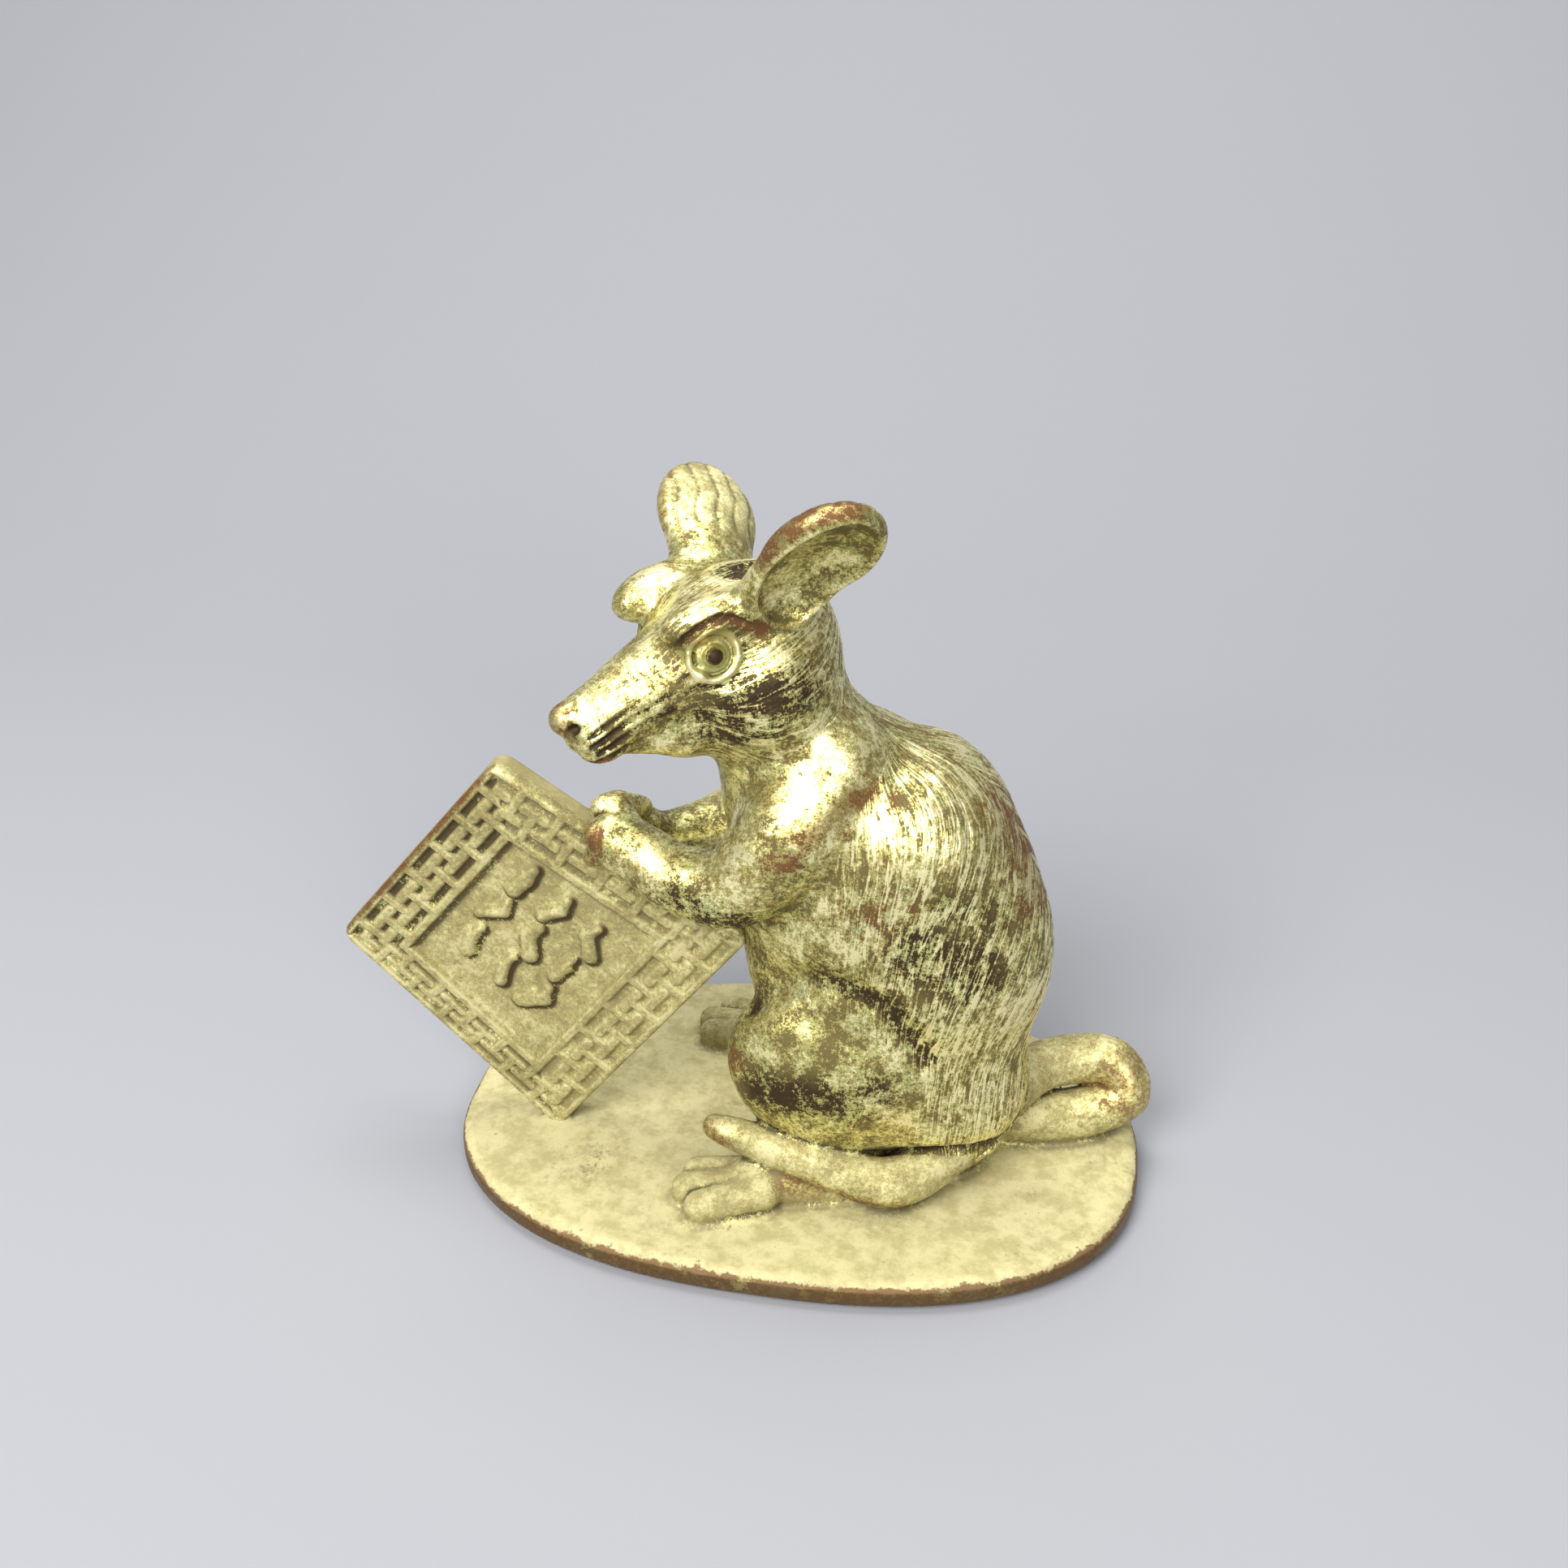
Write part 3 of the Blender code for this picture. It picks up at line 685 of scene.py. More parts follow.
def flow_coordinates(p):
    """Coordinates across and along the hair, how hairy it is, and which part each point lies on."""
    q = (p - HEAD_PLACE) @ head_axes().T
    spine = unit_vector((-21.0, -1.0, 66.0))
    from_spine = p - (16.0, -2.0, 0.0)
    up_spine = from_spine @ spine
    level = unit_vector(np.array([0.0, 1.0, 0.0]) - spine * spine[1])
    around_body = np.arctan2(from_spine @ level, from_spine @ np.cross(level, spine)) * 12.0
    slant = 0.40 * (up_spine - 30.0)
    body_flow = np.stack([around_body + np.sign(around_body) * slant, -up_spine], 1)
    around_head = np.arctan2(q[:, 1], q[:, 2] + 5.0) * 6.5
    head_flow = np.stack([around_head, -q[:, 0]], 1)
    thigh_angle = np.arctan2(p[:, 2] - 13.0, p[:, 0] - 8.0)
    thigh_radius = np.hypot(p[:, 2] - 13.0, p[:, 0] - 8.0)
    thigh_flow = np.stack([thigh_angle * 9.0, thigh_radius], 1)
    arm_flow = np.stack([p[:, 2] * 0.9 + p[:, 1], p[:, 0]], 1)
    on_back = 0.2 + 0.8 * smooth_step(p[:, 0] + 0.35 * (p[:, 2] - 30.0), 5.0, 15.0)
    off_muzzle = 0.25 + 0.5 * smooth_step(-q[:, 0], -15.0, -9.0)
    arms = np.minimum(*(tube(p, route, ARM_RADIUS) for route in (NEAR_ARM_ROUTE, FAR_ARM_ROUTE)))
    choices = [
        (body(p), body_flow, on_back),
        (near_only(p, (-34, -30, 45), (18, 24, 84), head) - 0.8, head_flow, off_muzzle),
        (np.minimum(thigh(p, -1), thigh(p, 1)), thigh_flow, 0.12),
        (arms, arm_flow, 0.2),
        (tube(p, TAIL_ROUTE, TAIL_RADIUS, 2) - 0.2, arm_flow * 0.5, 0.05),
        (np.minimum(*(foot(p, *place) for place in FEET)), arm_flow, 0.1),
        (base(p) - 0.3, p[:, :2] * 0.6, 0.0),
    ]
    nearest = np.argmin([c[0] for c in choices], 0)
    flow = np.zeros((len(p), 3))
    for k, (_, coordinates, hairy) in enumerate(choices):
        mine = nearest == k
        flow[mine, :2] = coordinates[mine] + 17.3 * k
        flow[mine, 2] = np.broadcast_to(hairy, len(p))[mine]
    ears = np.minimum(ear(q, 1), ear(q, -1)) < 0.6
    flow[ears, 2] = EAR_HAIR
    return flow, nearest


def hash_noise(a, b):
    """Smooth random values over a plane, from minus one to one."""
    a0, b0 = np.floor(a), np.floor(b)
    fa, fb = a - a0, b - b0
    fa, fb = fa * fa * (3 - 2 * fa), fb * fb * (3 - 2 * fb)

    def corner(i, j):
        return np.modf(np.abs(np.sin(i * 127.1 + j * 311.7) * 43758.5453))[0] * 2 - 1
    low = corner(a0, b0) * (1 - fa) + corner(a0 + 1, b0) * fa
    high = corner(a0, b0 + 1) * (1 - fa) + corner(a0 + 1, b0 + 1) * fa
    return low * (1 - fb) + high * fb


# Patches of colour: the points that one runs through, its reach and its strength. The dark ones are painted
# shade and painted dark reflections: under the cheek, the forearm and the thigh, in the thigh's crease, on the
# belly's front and in bands across the flank. The brown ones are brown patina, but the first of them is
# painted shade along the crease between chest and near arm.
PAINTED_SHADE_PATCHES = (
    (((-6.6, -15.4, 57.6), (-1.9, -13.9, 60.3), (2.2, -11.8, 61.4)), 3.6, 0.75),
    (((-5.2, -14.4, 56.2), (-1.4, -12.8, 57.8)), 3.2, 0.8),
    (((-10.5, -14.6, 37.6), (-5.8, -15.9, 36.6), (-1.0, -15.4, 35.4)), 2.8, 1.0),
    (((-1.6, -14.2, 14.0), (4.2, -15.6, 15.2), (10.5, -14.8, 15.8)), 3.6, 0.8),
    (((14.6, -13.5, 33.3), (20.3, -11.8, 30.8)), 5.5, 0.75),
    (((17.5, -12.2, 38.6), (22.0, -10.0, 36.0)), 4.0, 0.5),
    (((5.0, -12.4, 29.5), (12.0, -13.5, 27.5), (16.5, -12.8, 20.5)), 2.4, 0.7),
    (((-3.4, -9.2, 28.0), (-3.6, -9.1, 22.3)), 3.0, 0.5),
)
BROWN_PATINA_AND_CREASE_SHADE = (
    # Painted shade: brown along the crease between chest and near upper arm; the patches after it are brown
    # patina
    (((11.5, -11.2, 51.0), (7.7, -11.9, 50.0), (4.3, -13.4, 47.6), (1.0, -15.2, 44.0)), 2.0, 1.0),
    (((22.2, -3.8, 44.7), (25.0, -3.5, 38.0)), 5.5, 0.75),
    (((-20.6, -18.5, 59.8), (-21.0, -18.6, 58.6)), 1.9, 1.0),
    (((-17.6, -17.8, 54.4), (-16.2, -17.6, 54.0)), 1.7, 0.9),
    (((36.5, 3.0, 6.5), (38.5, 4.6, 9.0)), 3.6, 0.9),
    (((-7.6, -13.0, 7.4), (-6.0, -13.4, 6.9)), 1.8, 1.1),
    (((2.0, -16.0, 3.6), (8.4, -16.4, 2.6), (14.0, -16.0, 1.8)), 1.7, 0.9),
    (((-19.8, -10.4, 42.0), (-19.4, -10.3, 41.6)), 1.6, 1.3),
    (((-20.8, -10.0, 38.6), (-20.4, -9.8, 38.6)), 1.2, 1.2),
    (((10.0, -14.0, 38.0), (14.0, -14.0, 40.0)), 4.5, 0.4),
    (((-5.0, -11.6, 15.0), (-4.4, -12.0, 18.0)), 2.6, 0.6),
)


def patches(p, spots):
    total = np.zeros(len(p))
    for points, reach, strength in spots:
        d = np.full(len(p), FAR)
        for a, b in zip(points[:-1], points[1:]):
            d = np.minimum(d, limb(p, a, b, 0.0, 0.0))
        total = np.maximum(total, strength * np.exp(-((d / reach) ** 2)))
    return total


def line_shade(q):
    """Dark in the head's carved lines, round the eye's ball and on its pupil."""
    shade = np.zeros(len(q))
    for side in (1, -1):
        for points, _, width in HEAD_LINES:
            d = tube(q, mirrored(points, side, 0.0), 1.0, 3)
            shade = np.maximum(shade, np.exp(-((d / width) ** 2)))
        _, height, flat = eye_parts(q, side)
        outer = height > 0
        shade = np.maximum(shade, outer * 0.42 * np.exp(-(((flat - 1.98) / 0.13) ** 2)))
        shade = np.maximum(shade, outer * 0.30 * np.exp(-(((flat - 1.30) / 0.13) ** 2)))
        shade = np.maximum(shade, outer * 1.3 * np.exp(-((flat / 0.85) ** 4)))
        nostril = length(q - on_side(NOSTRIL, side))
        shade = np.maximum(shade, np.exp(-((nostril / 0.8) ** 2)))
    return shade


def ear_finish(p, q, facing):
    """How far each point lies in a vein on an ear's back, for each ear, and on an ear's worn rim."""
    veins = []
    rim_wear = np.zeros(len(p))
    for side in (1, -1):
        axes = ear_axes(side)
        at = (q - on_side(EAR_ROOT, side)) @ axes.T
        on_ear = (ear(q, side) < 0.5) * smooth_step(at[:, 0], 0.8, 3.0)
        on_back = smooth_step(-(facing @ axes[2]), 0.0, 0.4)
        wave = at[:, 1] + 0.15 * np.sin(0.8 * at[:, 0] + side)
        wave += 0.2 * hash_noise(at[:, 0] / 2.2, at[:, 1] * 0 + side)
        vein = np.abs((wave / VEIN_PITCH + 0.5) % 1.0 - 0.5) * VEIN_PITCH
        veins.append(np.exp(-((vein / 0.26) ** 2)) * on_back * on_ear)
        out_from_middle = np.hypot((at[:, 0] - EAR_MIDDLE) / EAR_HALF[0], at[:, 1] / EAR_HALF[1])
        middle = HEAD_PLACE + (on_side(EAR_ROOT, side) + EAR_MIDDLE * axes[0]) @ head_axes()
        upward = smooth_step((p - middle) @ np.array([-0.60, -0.12, 0.79]), 0.0, 2.5)
        worn = on_ear * smooth_step(out_from_middle, 0.80, 0.95) * upward
        rim_wear = np.maximum(rim_wear, worn * (1.0 if side > 0 else 0.5))
    return np.array(veins), rim_wear


def eye_calm(q):
    """One on each eye, where the patina's mottle fades."""
    calm = np.zeros(len(q))
    for side in (1, -1):
        _, height, flat = eye_parts(q, side)
        calm = np.maximum(calm, (height > -0.3) * (1.0 - smooth_step(flat, 2.6, 3.1)))
    return calm


def brow_crease_brown(q):
    """Brown along the crease over each eye."""
    brow = np.full(len(q), FAR)
    for side in (1, -1):
        brow = np.minimum(brow, tube(q, mirrored(HEAD_LINES[0][0], side, 0.0), 1.0, 2))
    return 0.6 * np.exp(-((brow / BROW_REACH) ** 2))


def finish_figure(thing):
    p = points_of(thing)
    flow, region = flow_coordinates(p)
    slope, bend = slope_and_bend(figure, p, 0.42)
    normal = slope / (length(slope)[:, None] + 1e-9)
    flow[:, 2] *= smooth_step(p[:, 2], 0.5, 4.0)
    across, along, hairy = flow.T
    strokes = hash_noise(across / 0.62, along / 5.5) + 0.7 * hash_noise(across / 0.38 + 31, along / 3.4)
    clumps = hash_noise(across / 2.6 + 7, along / 9.0)
    lift = hairy * (0.05 * strokes + 0.05 * clumps)
    q = (p - HEAD_PLACE) @ head_axes().T
    veins, rim_wear = ear_finish(p, q, normal @ head_axes().T)
    lift = lift - VEIN_DEPTH * veins.sum(0)
    p = p + normal * lift[:, None]
    p[:, 2] = np.maximum(p[:, 2], -BASE_THICKNESS)
    move_points(thing, p)
    calm = eye_calm(q)
    flow[:, 2] *= 1.0 - calm
    store(thing, "flow", flow)
    store(thing, "calm", calm)
    store(thing, "edge", np.clip(bend * 0.45, 0, 1))
    lines = line_shade(q) * (p[:, 2] > 50)
    creases = np.clip(-bend * 0.4, 0, 0.62) * (1.0 - 0.7 * calm)
    store(thing, "hollow", np.clip(np.maximum.reduce([creases, lines, 0.5 * veins.max(0)]), 0, 1.2))
    # Painted shade and painted dark reflections, from the dark patches above
    store(thing, "painted_shade", patches(p, PAINTED_SHADE_PATCHES))
    # Brown from the patches, the ear rims and the brows; along the chest's crease it is painted shade
    store(thing, "brown", np.maximum.reduce([patches(p, BROWN_PATINA_AND_CREASE_SHADE), 0.95 * rim_wear, brow_crease_brown(q)]))
    on_base = smooth_step(-np.abs(base(p)), -0.6, -0.1) * (p[:, 2] < 1.0)
    low_parts = np.where(region == ON_TAIL, 0.70, 0.0) + np.where(region == ON_FEET, 0.80, 0.0)
    far_side = smooth_step(p[:, 1], 2.0, 8.0) * 0.5
    store(thing, "dust", np.maximum.reduce([on_base * (p[:, 2] > -0.9), far_side, low_parts]))
    store(thing, "aged", np.where((region == ON_TAIL) | (region == ON_FEET), 0.75, 0.0))
    store(thing, "rim", on_base * smooth_step(-p[:, 2], 0.1, 0.9))


def finish_tablet(thing):
    p = points_of(thing)
    inside, near, side, along = tablet_sides(p[:, 0], p[:, 2])
    depth = tablet_depth(p[:, 0], p[:, 2], near, side, along)
    front = smooth_step(-p[:, 1], -TABLET_FRONT - PANEL_DEPTH - 0.5, -TABLET_FRONT - PANEL_DEPTH - 0.1)
    past = near - BORDER_WIDTHS[side]
    in_border = 1.0 - smooth_step(past, 0.2, 1.0)
    # The fret's grooves hold dark patina, with painted shade that darkens them most on the upper left side and
    # least on the lower right
    shade = np.array([0.38, 0.50, 0.80, 0.60])[side]
    grooves = smooth_step(depth, 0.12, 0.5) * in_border * shade
    # Painted shade at the foot of the frame's inner slope, most on the upper left side and none on the lower
    # left
    frame_foot_shade = smooth_step(past, 0.4, 1.0) * (1 - smooth_step(past, 1.4, 2.1))
    frame_foot_shade *= np.array([0.1, 0.35, 0.55, 0.0])[side]
    stroke = panel_strokes(p[:, 0] - 0.25, p[:, 2] + 0.35)
    beside_strokes = (1.0 - smooth_step(stroke, 0.1, 1.0)) * smooth_step(depth, 0.35, 0.8) * (1 - in_border)
    bend = slope_and_bend(tablet, p, 0.3)[1]
    store(thing, "flow", np.stack([p[:, 0] * 0.6, p[:, 2] * 0.6, np.zeros(len(p))], 1))
    store(thing, "edge", np.clip(bend * 0.12, 0, 1))
    # Hollows here: dark patina in the grooves and beside the strokes, with the painted shade of the sides
    store(thing, "hollow", front * np.maximum.reduce([0.85 * grooves, frame_foot_shade, 0.8 * beside_strokes]))
    # No painted shade patches on the tablet
    store(thing, "painted_shade", np.zeros(len(p)))
    outer = smooth_step(tablet_outline(inside), -0.9, -0.3)
    left = np.array([0.0, 0.25, 1.0, 0.25])[side]
    store(thing, "brown", outer * left * smooth_step(-p[:, 1], -TABLET_FRONT - 2.0, -TABLET_FRONT - 1.0))
    store(thing, "dust", np.full(len(p), 1.0) - 0.25 * front)
    for name in ("rim", "calm"):
        store(thing, name, np.zeros(len(p)))
    store(thing, "aged", np.ones(len(p)))


# Materials

class Nodes:
    """Short way to write shader nodes."""

    def __init__(self, name):
        self.material = bpy.data.materials.new(name)
        self.material.use_nodes = True
        self.tree = self.material.node_tree
        self.shader = self.tree.nodes["Principled BSDF"]

    def put(self, socket, value):
        if isinstance(value, bpy.types.NodeSocket):
            self.tree.links.new(value, socket)
        else:
            socket.default_value = value

    def attribute(self, name, out="Fac"):
        node = self.tree.nodes.new("ShaderNodeAttribute")
        node.attribute_name = name
        return node.outputs[out]

    def math(self, operation, a, b=0.0, c=0.0, clamp=False):
        node = self.tree.nodes.new("ShaderNodeMath")
        node.operation = operation
        node.use_clamp = clamp
        for socket, value in zip(node.inputs, (a, b, c)):
            self.put(socket, value)
        return node.outputs[0]

    def ramp(self, value, low, high):
        node = self.tree.nodes.new("ShaderNodeMapRange")
        node.interpolation_type = "SMOOTHSTEP"
        node.inputs["From Min"].default_value = low
        node.inputs["From Max"].default_value = high
        self.put(node.inputs["Value"], value)
        return node.outputs["Result"]

    def noise(self, vector, scale, detail=2.0, roughness=0.5, distortion=0.0):
        node = self.tree.nodes.new("ShaderNodeTexNoise")
        self.put(node.inputs["Vector"], vector)
        node.inputs["Scale"].default_value = scale
        node.inputs["Detail"].default_value = detail
        node.inputs["Roughness"].default_value = roughness
        node.inputs["Distortion"].default_value = distortion
        return node.outputs["Fac"]

    def scaled(self, vector, sizes):
        node = self.tree.nodes.new("ShaderNodeMapping")
        node.inputs["Scale"].default_value = sizes
        self.put(node.inputs["Vector"], vector)
        return node.outputs["Vector"]

    def mix(self, factor, a, b):
        node = self.tree.nodes.new("ShaderNodeMix")
        node.data_type = "RGBA"
        self.put(node.inputs["Factor"], factor)
        self.put(node.inputs["A"], a)
        self.put(node.inputs["B"], b)
        return node.outputs["Result"]

    def bump(self, height, distance, strength, normal=None):
        node = self.tree.nodes.new("ShaderNodeBump")
        node.inputs["Distance"].default_value = distance
        self.put(node.inputs["Strength"], strength)
        self.put(node.inputs["Height"], height)
        if normal is not None:
            self.put(node.inputs["Normal"], normal)
        return node.outputs["Normal"]


GOLD = (0.47, 0.40, 0.145, 1.0)
YELLOW_GREEN = (0.46, 0.46, 0.165, 1.0)
PALE_GOLD = (0.90, 0.82, 0.46, 1.0)
OLIVE = (0.125, 0.102, 0.034, 1.0)
VERDIGRIS = (0.36, 0.42, 0.27, 1.0)
DARK = (0.034, 0.020, 0.008, 1.0)
BROWN = (0.13, 0.062, 0.022, 1.0)
COPPER = (0.30, 0.165, 0.060, 1.0)
DUST = (0.49, 0.445, 0.245, 1.0)
DUST_SHADE = (0.385, 0.345, 0.172, 1.0)
DUST_OLD = (0.21, 0.18, 0.075, 1.0)
RIM_BROWN = (0.12, 0.060, 0.026, 1.0)


def patina():
    n = Nodes("patinated_bronze")
    place = n.tree.nodes.new("ShaderNodeTexCoord").outputs["Object"]
    in_mm = n.scaled(place, (1 / MM,) * 3)
    flow = n.attribute("flow", "Vector")
    split = n.tree.nodes.new("ShaderNodeSeparateXYZ")
    n.put(split.inputs[0], flow)
    hairy = split.outputs["Z"]
    edge, hollow = n.attribute("edge"), n.attribute("hollow")
    # The painted shade patches, and the brown patches
    painted_shade, brown = n.attribute("painted_shade"), n.attribute("brown")
    dust, rim, aged = n.attribute("dust"), n.attribute("rim"), n.attribute("aged")

    hair = n.noise(n.scaled(flow, (1.75, 0.16, 0.0)), 1.0, 3.0, 0.55, 0.15)
    fine_hair = n.noise(n.scaled(flow, (4.6, 0.42, 0.0)), 1.0, 2.0, 0.5, 0.2)
    blotch = n.noise(in_mm, 0.13, 4.0, 0.6)
    medium = n.noise(in_mm, 0.42, 4.0, 0.65)
    speck = n.noise(in_mm, 1.9, 4.0, 0.72)
    grain = n.noise(in_mm, 6.0, 2.0, 0.6)

    def weighed(noise, weight):
        return n.math("MULTIPLY", n.math("SUBTRACT", noise, 0.5), weight)

    calm = n.attribute("calm")
    mottle = n.math("ADD", weighed(speck, 1.25), weighed(medium, 1.15))
    mottle = n.math("ADD", n.math("ADD", mottle, weighed(grain, 0.7)), weighed(blotch, 0.9))
    mottle = n.math("MULTIPLY", mottle, n.math("SUBTRACT", 1.0, n.math("MULTIPLY", calm, 0.85)))
    worn = n.math("ADD", n.math("MULTIPLY_ADD", calm, 0.05, 0.52), mottle)
    worn = n.math("ADD", worn, n.math("MULTIPLY", weighed(hair, 0.7), hairy))
    worn = n.math("ADD", worn, n.math("MULTIPLY", weighed(fine_hair, 0.8), hairy))
    long_hair = n.noise(n.scaled(flow, (0.95, 0.105, 0.0)), 1.0, 2.0, 0.5, 0.3)
    off_line = n.math("ABSOLUTE", weighed(long_hair, 1.0))
    scratch = n.math("SUBTRACT", 1.0, n.ramp(off_line, 0.008, 0.034))
    worn = n.math("ADD", worn, n.math("MULTIPLY", n.math("MULTIPLY", scratch, hairy), 0.30))
    worn = n.math("ADD", worn, n.math("MULTIPLY", edge, 0.16))
    # Hollows darken the colour: darker patina there, and on the tablet painted shade, most on its upper left
    # side
    worn = n.math("SUBTRACT", worn, n.math("MULTIPLY", hollow, 0.42))
    # Painted shade from the dark patches pulls the colour toward the olive and dark tones
    worn = n.math("SUBTRACT", worn, n.math("MULTIPLY", painted_shade, 0.19))
    worn = n.math("SUBTRACT", worn, n.math("MULTIPLY", brown, 0.16))

    # Darker toward DARK in hollows, where the patina is darker, and under the painted shade patches
    depth = n.math("ADD", n.math("MULTIPLY", painted_shade, 0.9), hollow)
    depth = n.math("ADD", depth, weighed(medium, 0.8))
    low = n.mix(n.ramp(depth, 0.10, 0.62), OLIVE, DARK)
    low = n.mix(n.ramp(n.math("ADD", brown, weighed(blotch, 1.4)), 0.18, 0.55), low, BROWN)
    gold = n.mix(n.ramp(medium, 0.42, 0.60), GOLD, YELLOW_GREEN)
    verdigris = n.ramp(n.noise(in_mm, 0.24, 3.0, 0.6), 0.56, 0.70)
    gold = n.mix(n.math("MULTIPLY", verdigris, 0.3), gold, VERDIGRIS)
    colour = n.mix(n.ramp(worn, 0.36, 0.50), low, gold)
    colour = n.mix(n.ramp(worn, 0.56, 0.74), colour, PALE_GOLD)
    tinted = n.math("MULTIPLY", n.ramp(brown, 0.35, 0.95), 0.55)
    colour = n.mix(tinted, colour, n.mix(n.ramp(worn, 0.30, 0.60), BROWN, COPPER))

    fresh = n.math("SUBTRACT", medium, n.math("MULTIPLY", aged, 0.10))
    dust_colour = n.mix(n.ramp(fresh, 0.35, 0.62), DUST_SHADE, DUST)
    dust_colour = n.mix(n.math("MULTIPLY", aged, 0.72), dust_colour, DUST_OLD)
    dust_mask = n.math("MULTIPLY", dust, n.ramp(n.math("ADD", speck, blotch), 0.50, 0.90))
    clean = n.math("SUBTRACT", 1.0, n.math("MULTIPLY", n.ramp(hollow, 0.15, 0.75), 0.85))
    dust_mask = n.math("MULTIPLY", dust_mask, clean)
    dust_mask = n.math("MULTIPLY", dust_mask, n.math("SUBTRACT", 1.0, n.math("MINIMUM", brown, 1.0)))
    colour = n.mix(n.math("MULTIPLY", dust_mask, 0.92), colour, dust_colour)
    mottled = n.math("ADD", weighed(speck, 1.6), weighed(medium, 2.2))
    rim_mask = n.ramp(n.math("ADD", rim, mottled), 0.45, 0.85)
    rim_colour = n.mix(n.ramp(medium, 0.4, 0.6), RIM_BROWN, BROWN)
    colour = n.mix(n.math("MULTIPLY", rim_mask, 0.9), colour, rim_colour)

    n.put(n.shader.inputs["Base Color"], colour)
    n.shader.inputs["Specular IOR Level"].default_value = 0.25
    patch = n.math("SUBTRACT", 1.0, n.ramp(worn, 0.36, 0.50))
    metal = n.math("SUBTRACT", 0.86, n.math("MULTIPLY", dust_mask, 0.80))
    metal = n.math("SUBTRACT", metal, n.math("MULTIPLY", patch, 0.50), clamp=True)
    n.put(n.shader.inputs["Metallic"], metal)
    rough = n.math("ADD", 0.32, n.math("MULTIPLY", dust_mask, 0.37))
    rough = n.math("ADD", rough, n.math("MULTIPLY", patch, 0.17))
    rough = n.math("ADD", rough, n.math("MULTIPLY", grain, 0.10))
    n.put(n.shader.inputs["Roughness"], rough)

    normal = n.bump(hair, 0.18 * MM, n.math("MULTIPLY", hairy, 1.0))
    normal = n.bump(fine_hair, 0.10 * MM, n.math("MULTIPLY", hairy, 0.9), normal)
    normal = n.bump(speck, 0.08 * MM, 0.6, normal)
    normal = n.bump(grain, 0.03 * MM, 0.5, normal)
    n.put(n.shader.inputs["Normal"], normal)
    return n.material


def backdrop():
    material = bpy.data.materials.new("floor_cloth")
    material.use_nodes = True
    shader = material.node_tree.nodes["Principled BSDF"]
    shader.inputs["Base Color"].default_value = (0.272, 0.280, 0.310, 1.0)
    shader.inputs["Roughness"].default_value = 0.9
    reach, rise, steps = 0.9, 0.35, 10
    profile = [(-reach, 0.0), (0.12, 0.0)]
    for k in range(1, steps + 1):
        t = k / steps * np.pi / 2
        profile.append((0.12 + rise * np.sin(t), rise * (1 - np.cos(t))))
    profile.append((0.12 + rise, 1.4))
    verts = [(x, y, z - 0.0002) for y, z in profile for x in (-1.4, 1.4)]
    faces = [(2 * k, 2 * k + 1, 2 * k + 3, 2 * k + 2) for k in range(len(profile) - 1)]
    floor = build_mesh("floor", np.array(verts), np.array(faces))
    floor.data.materials.append(material)
    return floor


def area_light(name, place, aim, size, power, colour):
    data = bpy.data.lights.new(name, "AREA")
    data.shape = "RECTANGLE"
    data.size, data.size_y = size
    data.energy = power
    data.color = colour
    light = bpy.data.objects.new(name, data)
    bpy.context.collection.objects.link(light)
    back = unit_vector(np.array(place) - np.array(aim))
    right = unit_vector(np.cross((0.0, 1.0, 0.01), back))
    up = np.cross(back, right)
    turned = np.eye(4)
    turned[:3, :3] = np.stack([right, up, back], 1)
    turned[:3, 3] = place
    light.matrix_world = Matrix(turned.tolist())
    return light


# Where the photograph was taken from, in the figurine's own frame
VIEW_TURN = 10.576
VIEW_RISE = 28.045
VIEW_DISTANCE = 195.419
VIEW_MIDDLE = (-1.615, 42.508)
FOCAL_LENGTH = 37.267
SENSOR = 36.0


def camera():
    turn, rise = np.radians([VIEW_TURN, VIEW_RISE])
    back = np.array([np.sin(turn) * np.cos(rise), -np.cos(turn) * np.cos(rise), np.sin(rise)])
    right = np.array([np.cos(turn), np.sin(turn), 0.0])
    up = np.cross(back, right)
    place = (back * VIEW_DISTANCE + right * VIEW_MIDDLE[0] + up * VIEW_MIDDLE[1]) * MM
    data = bpy.data.cameras.new("camera")
    data.lens = FOCAL_LENGTH
    data.sensor_width = SENSOR
    data.clip_start = 0.01
    eye_point = bpy.data.objects.new("camera", data)
    bpy.context.collection.objects.link(eye_point)
    turned = np.eye(4)
    turned[:3, :3] = np.stack([right, up, back], 1)
    turned[:3, 3] = place
    eye_point.matrix_world = Matrix(turned.tolist())
    bpy.context.scene.camera = eye_point


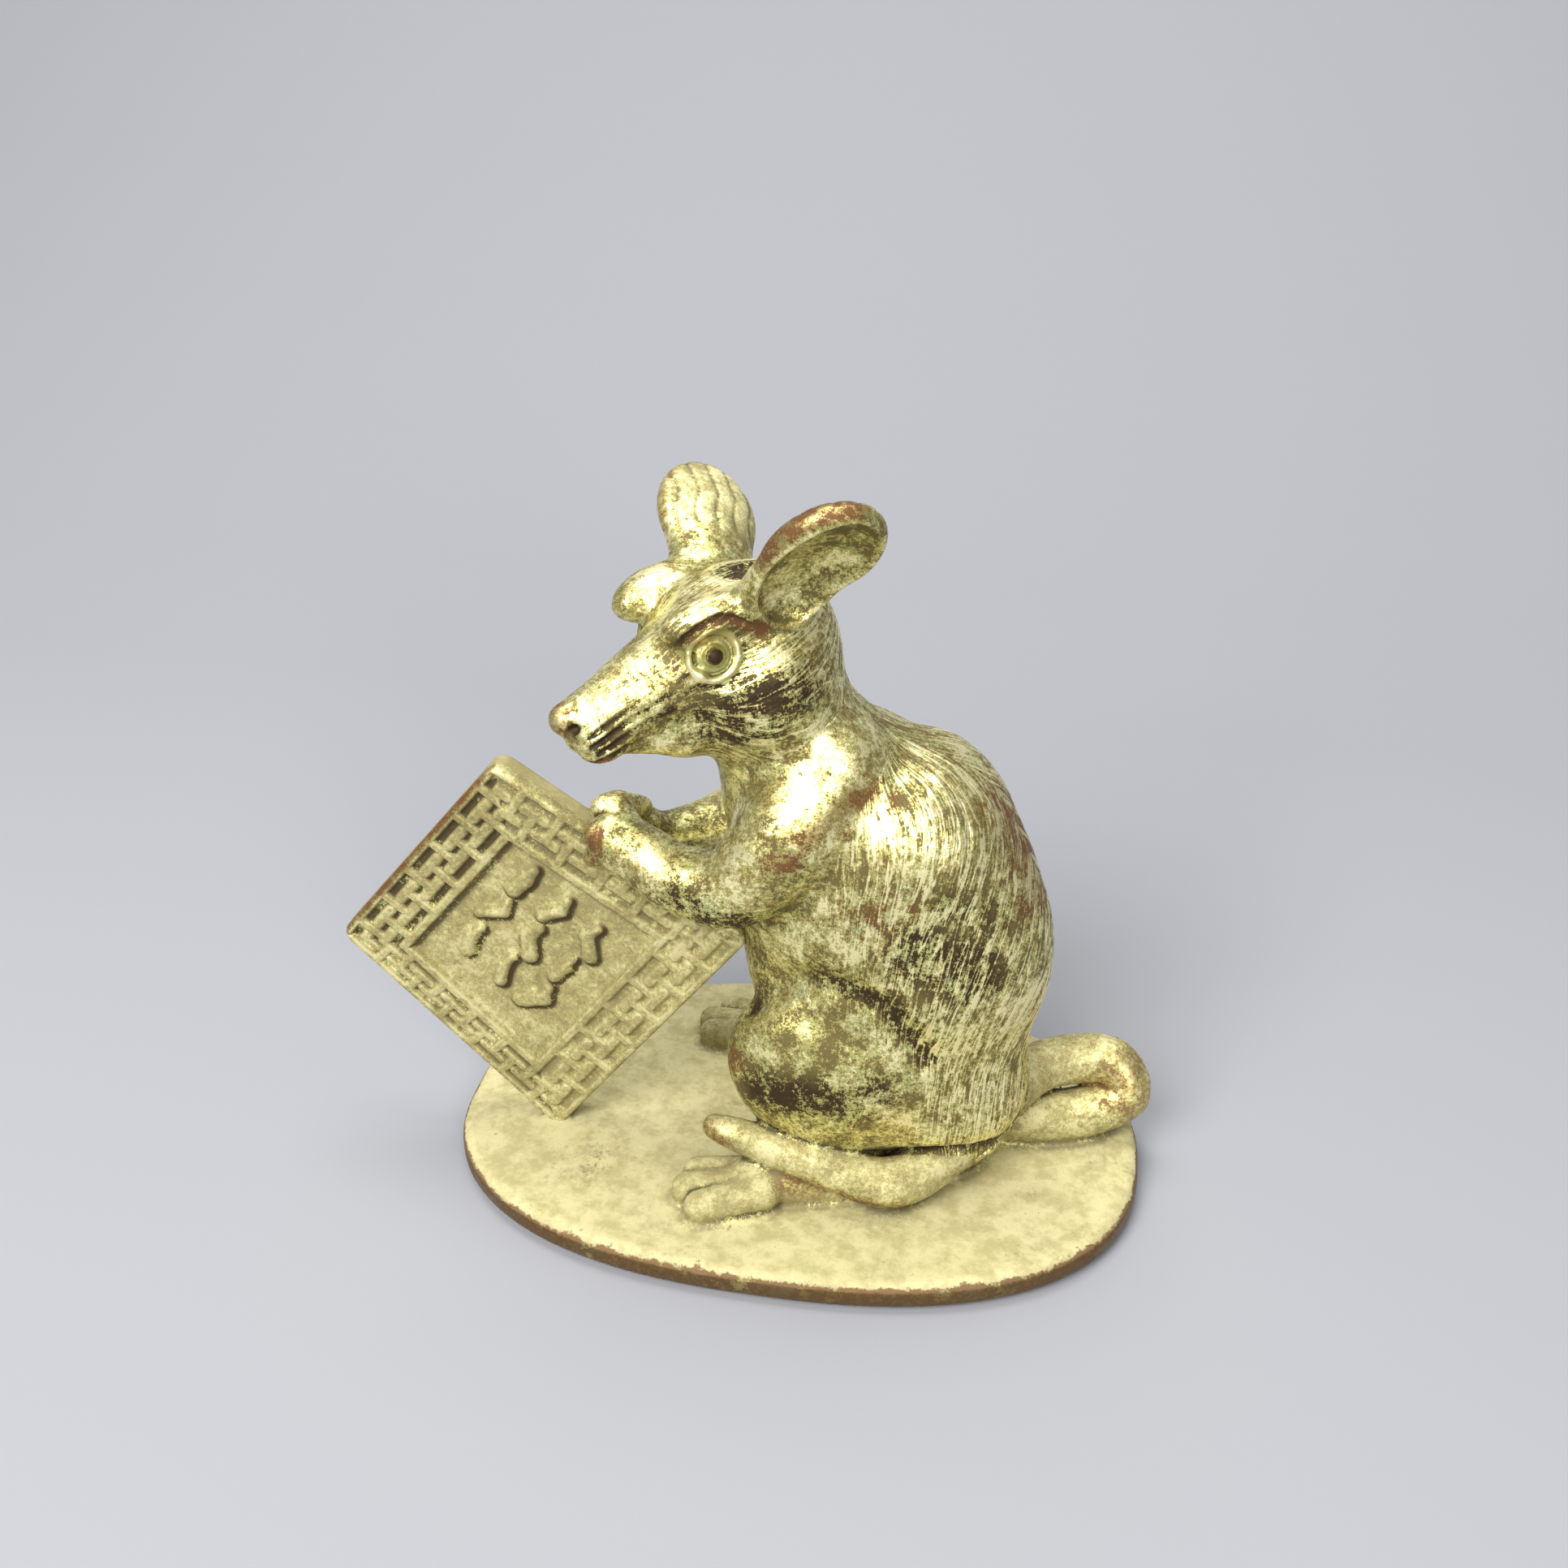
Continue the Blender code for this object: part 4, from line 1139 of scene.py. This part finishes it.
def world():
    """Bright overhead and dimmer near the horizon, as in a room."""
    room = bpy.data.worlds.new("room")
    bpy.context.scene.world = room
    room.use_nodes = True
    tree = room.node_tree
    background = tree.nodes["Background"]
    background.inputs["Color"].default_value = (1.0, 0.99, 0.97, 1.0)
    split = tree.nodes.new("ShaderNodeSeparateXYZ")
    tree.links.new(tree.nodes.new("ShaderNodeTexCoord").outputs["Generated"], split.inputs[0])
    rise = tree.nodes.new("ShaderNodeMapRange")
    rise.inputs["From Min"].default_value = 0.1
    rise.inputs["From Max"].default_value = 0.9
    rise.inputs["To Min"].default_value = 0.16
    rise.inputs["To Max"].default_value = 0.60
    tree.links.new(split.outputs["Z"], rise.inputs["Value"])
    tree.links.new(rise.outputs["Result"], background.inputs["Strength"])


def place_in_frame(thing):
    """Millimetres above the base's top become metres above its underside."""
    p = points_of(thing)
    p[:, 2] += BASE_THICKNESS
    move_points(thing, p * MM)


def main():
    coarse = 1.0
    layers = (
        ("head_and_ears", NECK_SEAM - SEAM_LAP, FAR * 2, HEAD_STEP, (-34.0, -28.0), (18.0, 22.0)),
        ("body_and_arms", FOOT_SEAM - SEAM_LAP, NECK_SEAM + SEAM_LAP, BODY_STEP,
         (-54.0, -26.0), (38.0, 22.0)),
        ("feet_tail_and_base", -FAR, FOOT_SEAM + SEAM_LAP, BODY_STEP, (-54.0, -27.6), (42.8, 27.6)),
    )
    pieces = []
    for name, bottom, top, step, corner, far_corner in layers:
        low = corner + (max(bottom, -BASE_THICKNESS) - 1.0,)
        high = far_corner + (min(top, 82.0) + 1.0,)
        piece = carved(layer(bottom, top), name, low, high, step * coarse, PIECE_TRIANGLES)
        finish_figure(piece)
        pieces.append(piece)
    tablet_piece = carved(tablet, "tablet_with_fret", (-54.0, -7.2, -2.4), (-2.0, -1.4, 49.6),
                          TABLET_STEP * coarse, TABLET_TRIANGLES)
    finish_tablet(tablet_piece)
    pieces.append(tablet_piece)
    bronze = patina()
    for piece in pieces:
        place_in_frame(piece)
        piece.data.shade_smooth()
        piece.data.materials.clear()
        piece.data.materials.append(bronze)
        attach(piece, "root")
        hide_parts(NODE)
    backdrop()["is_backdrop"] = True
    aim = (0.0, 0.0, 0.035)
    area_light("ceiling", (-0.06, 0.10, 0.70), aim, (0.50, 0.36), 3.9, (1.0, 0.99, 0.95))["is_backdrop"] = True
    area_light("window", (-0.22, -0.50, 0.52), aim, (0.40, 0.34), 7.4, (1.0, 0.98, 0.94))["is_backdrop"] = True
    area_light("lamp", (0.34, -0.66, 0.36), aim, (0.26, 0.26), 3.2, (1.0, 0.98, 0.93))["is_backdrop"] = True
    camera()
    bpy.context.scene.view_settings.view_transform = "Standard"
    world()
    low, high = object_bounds()


main()
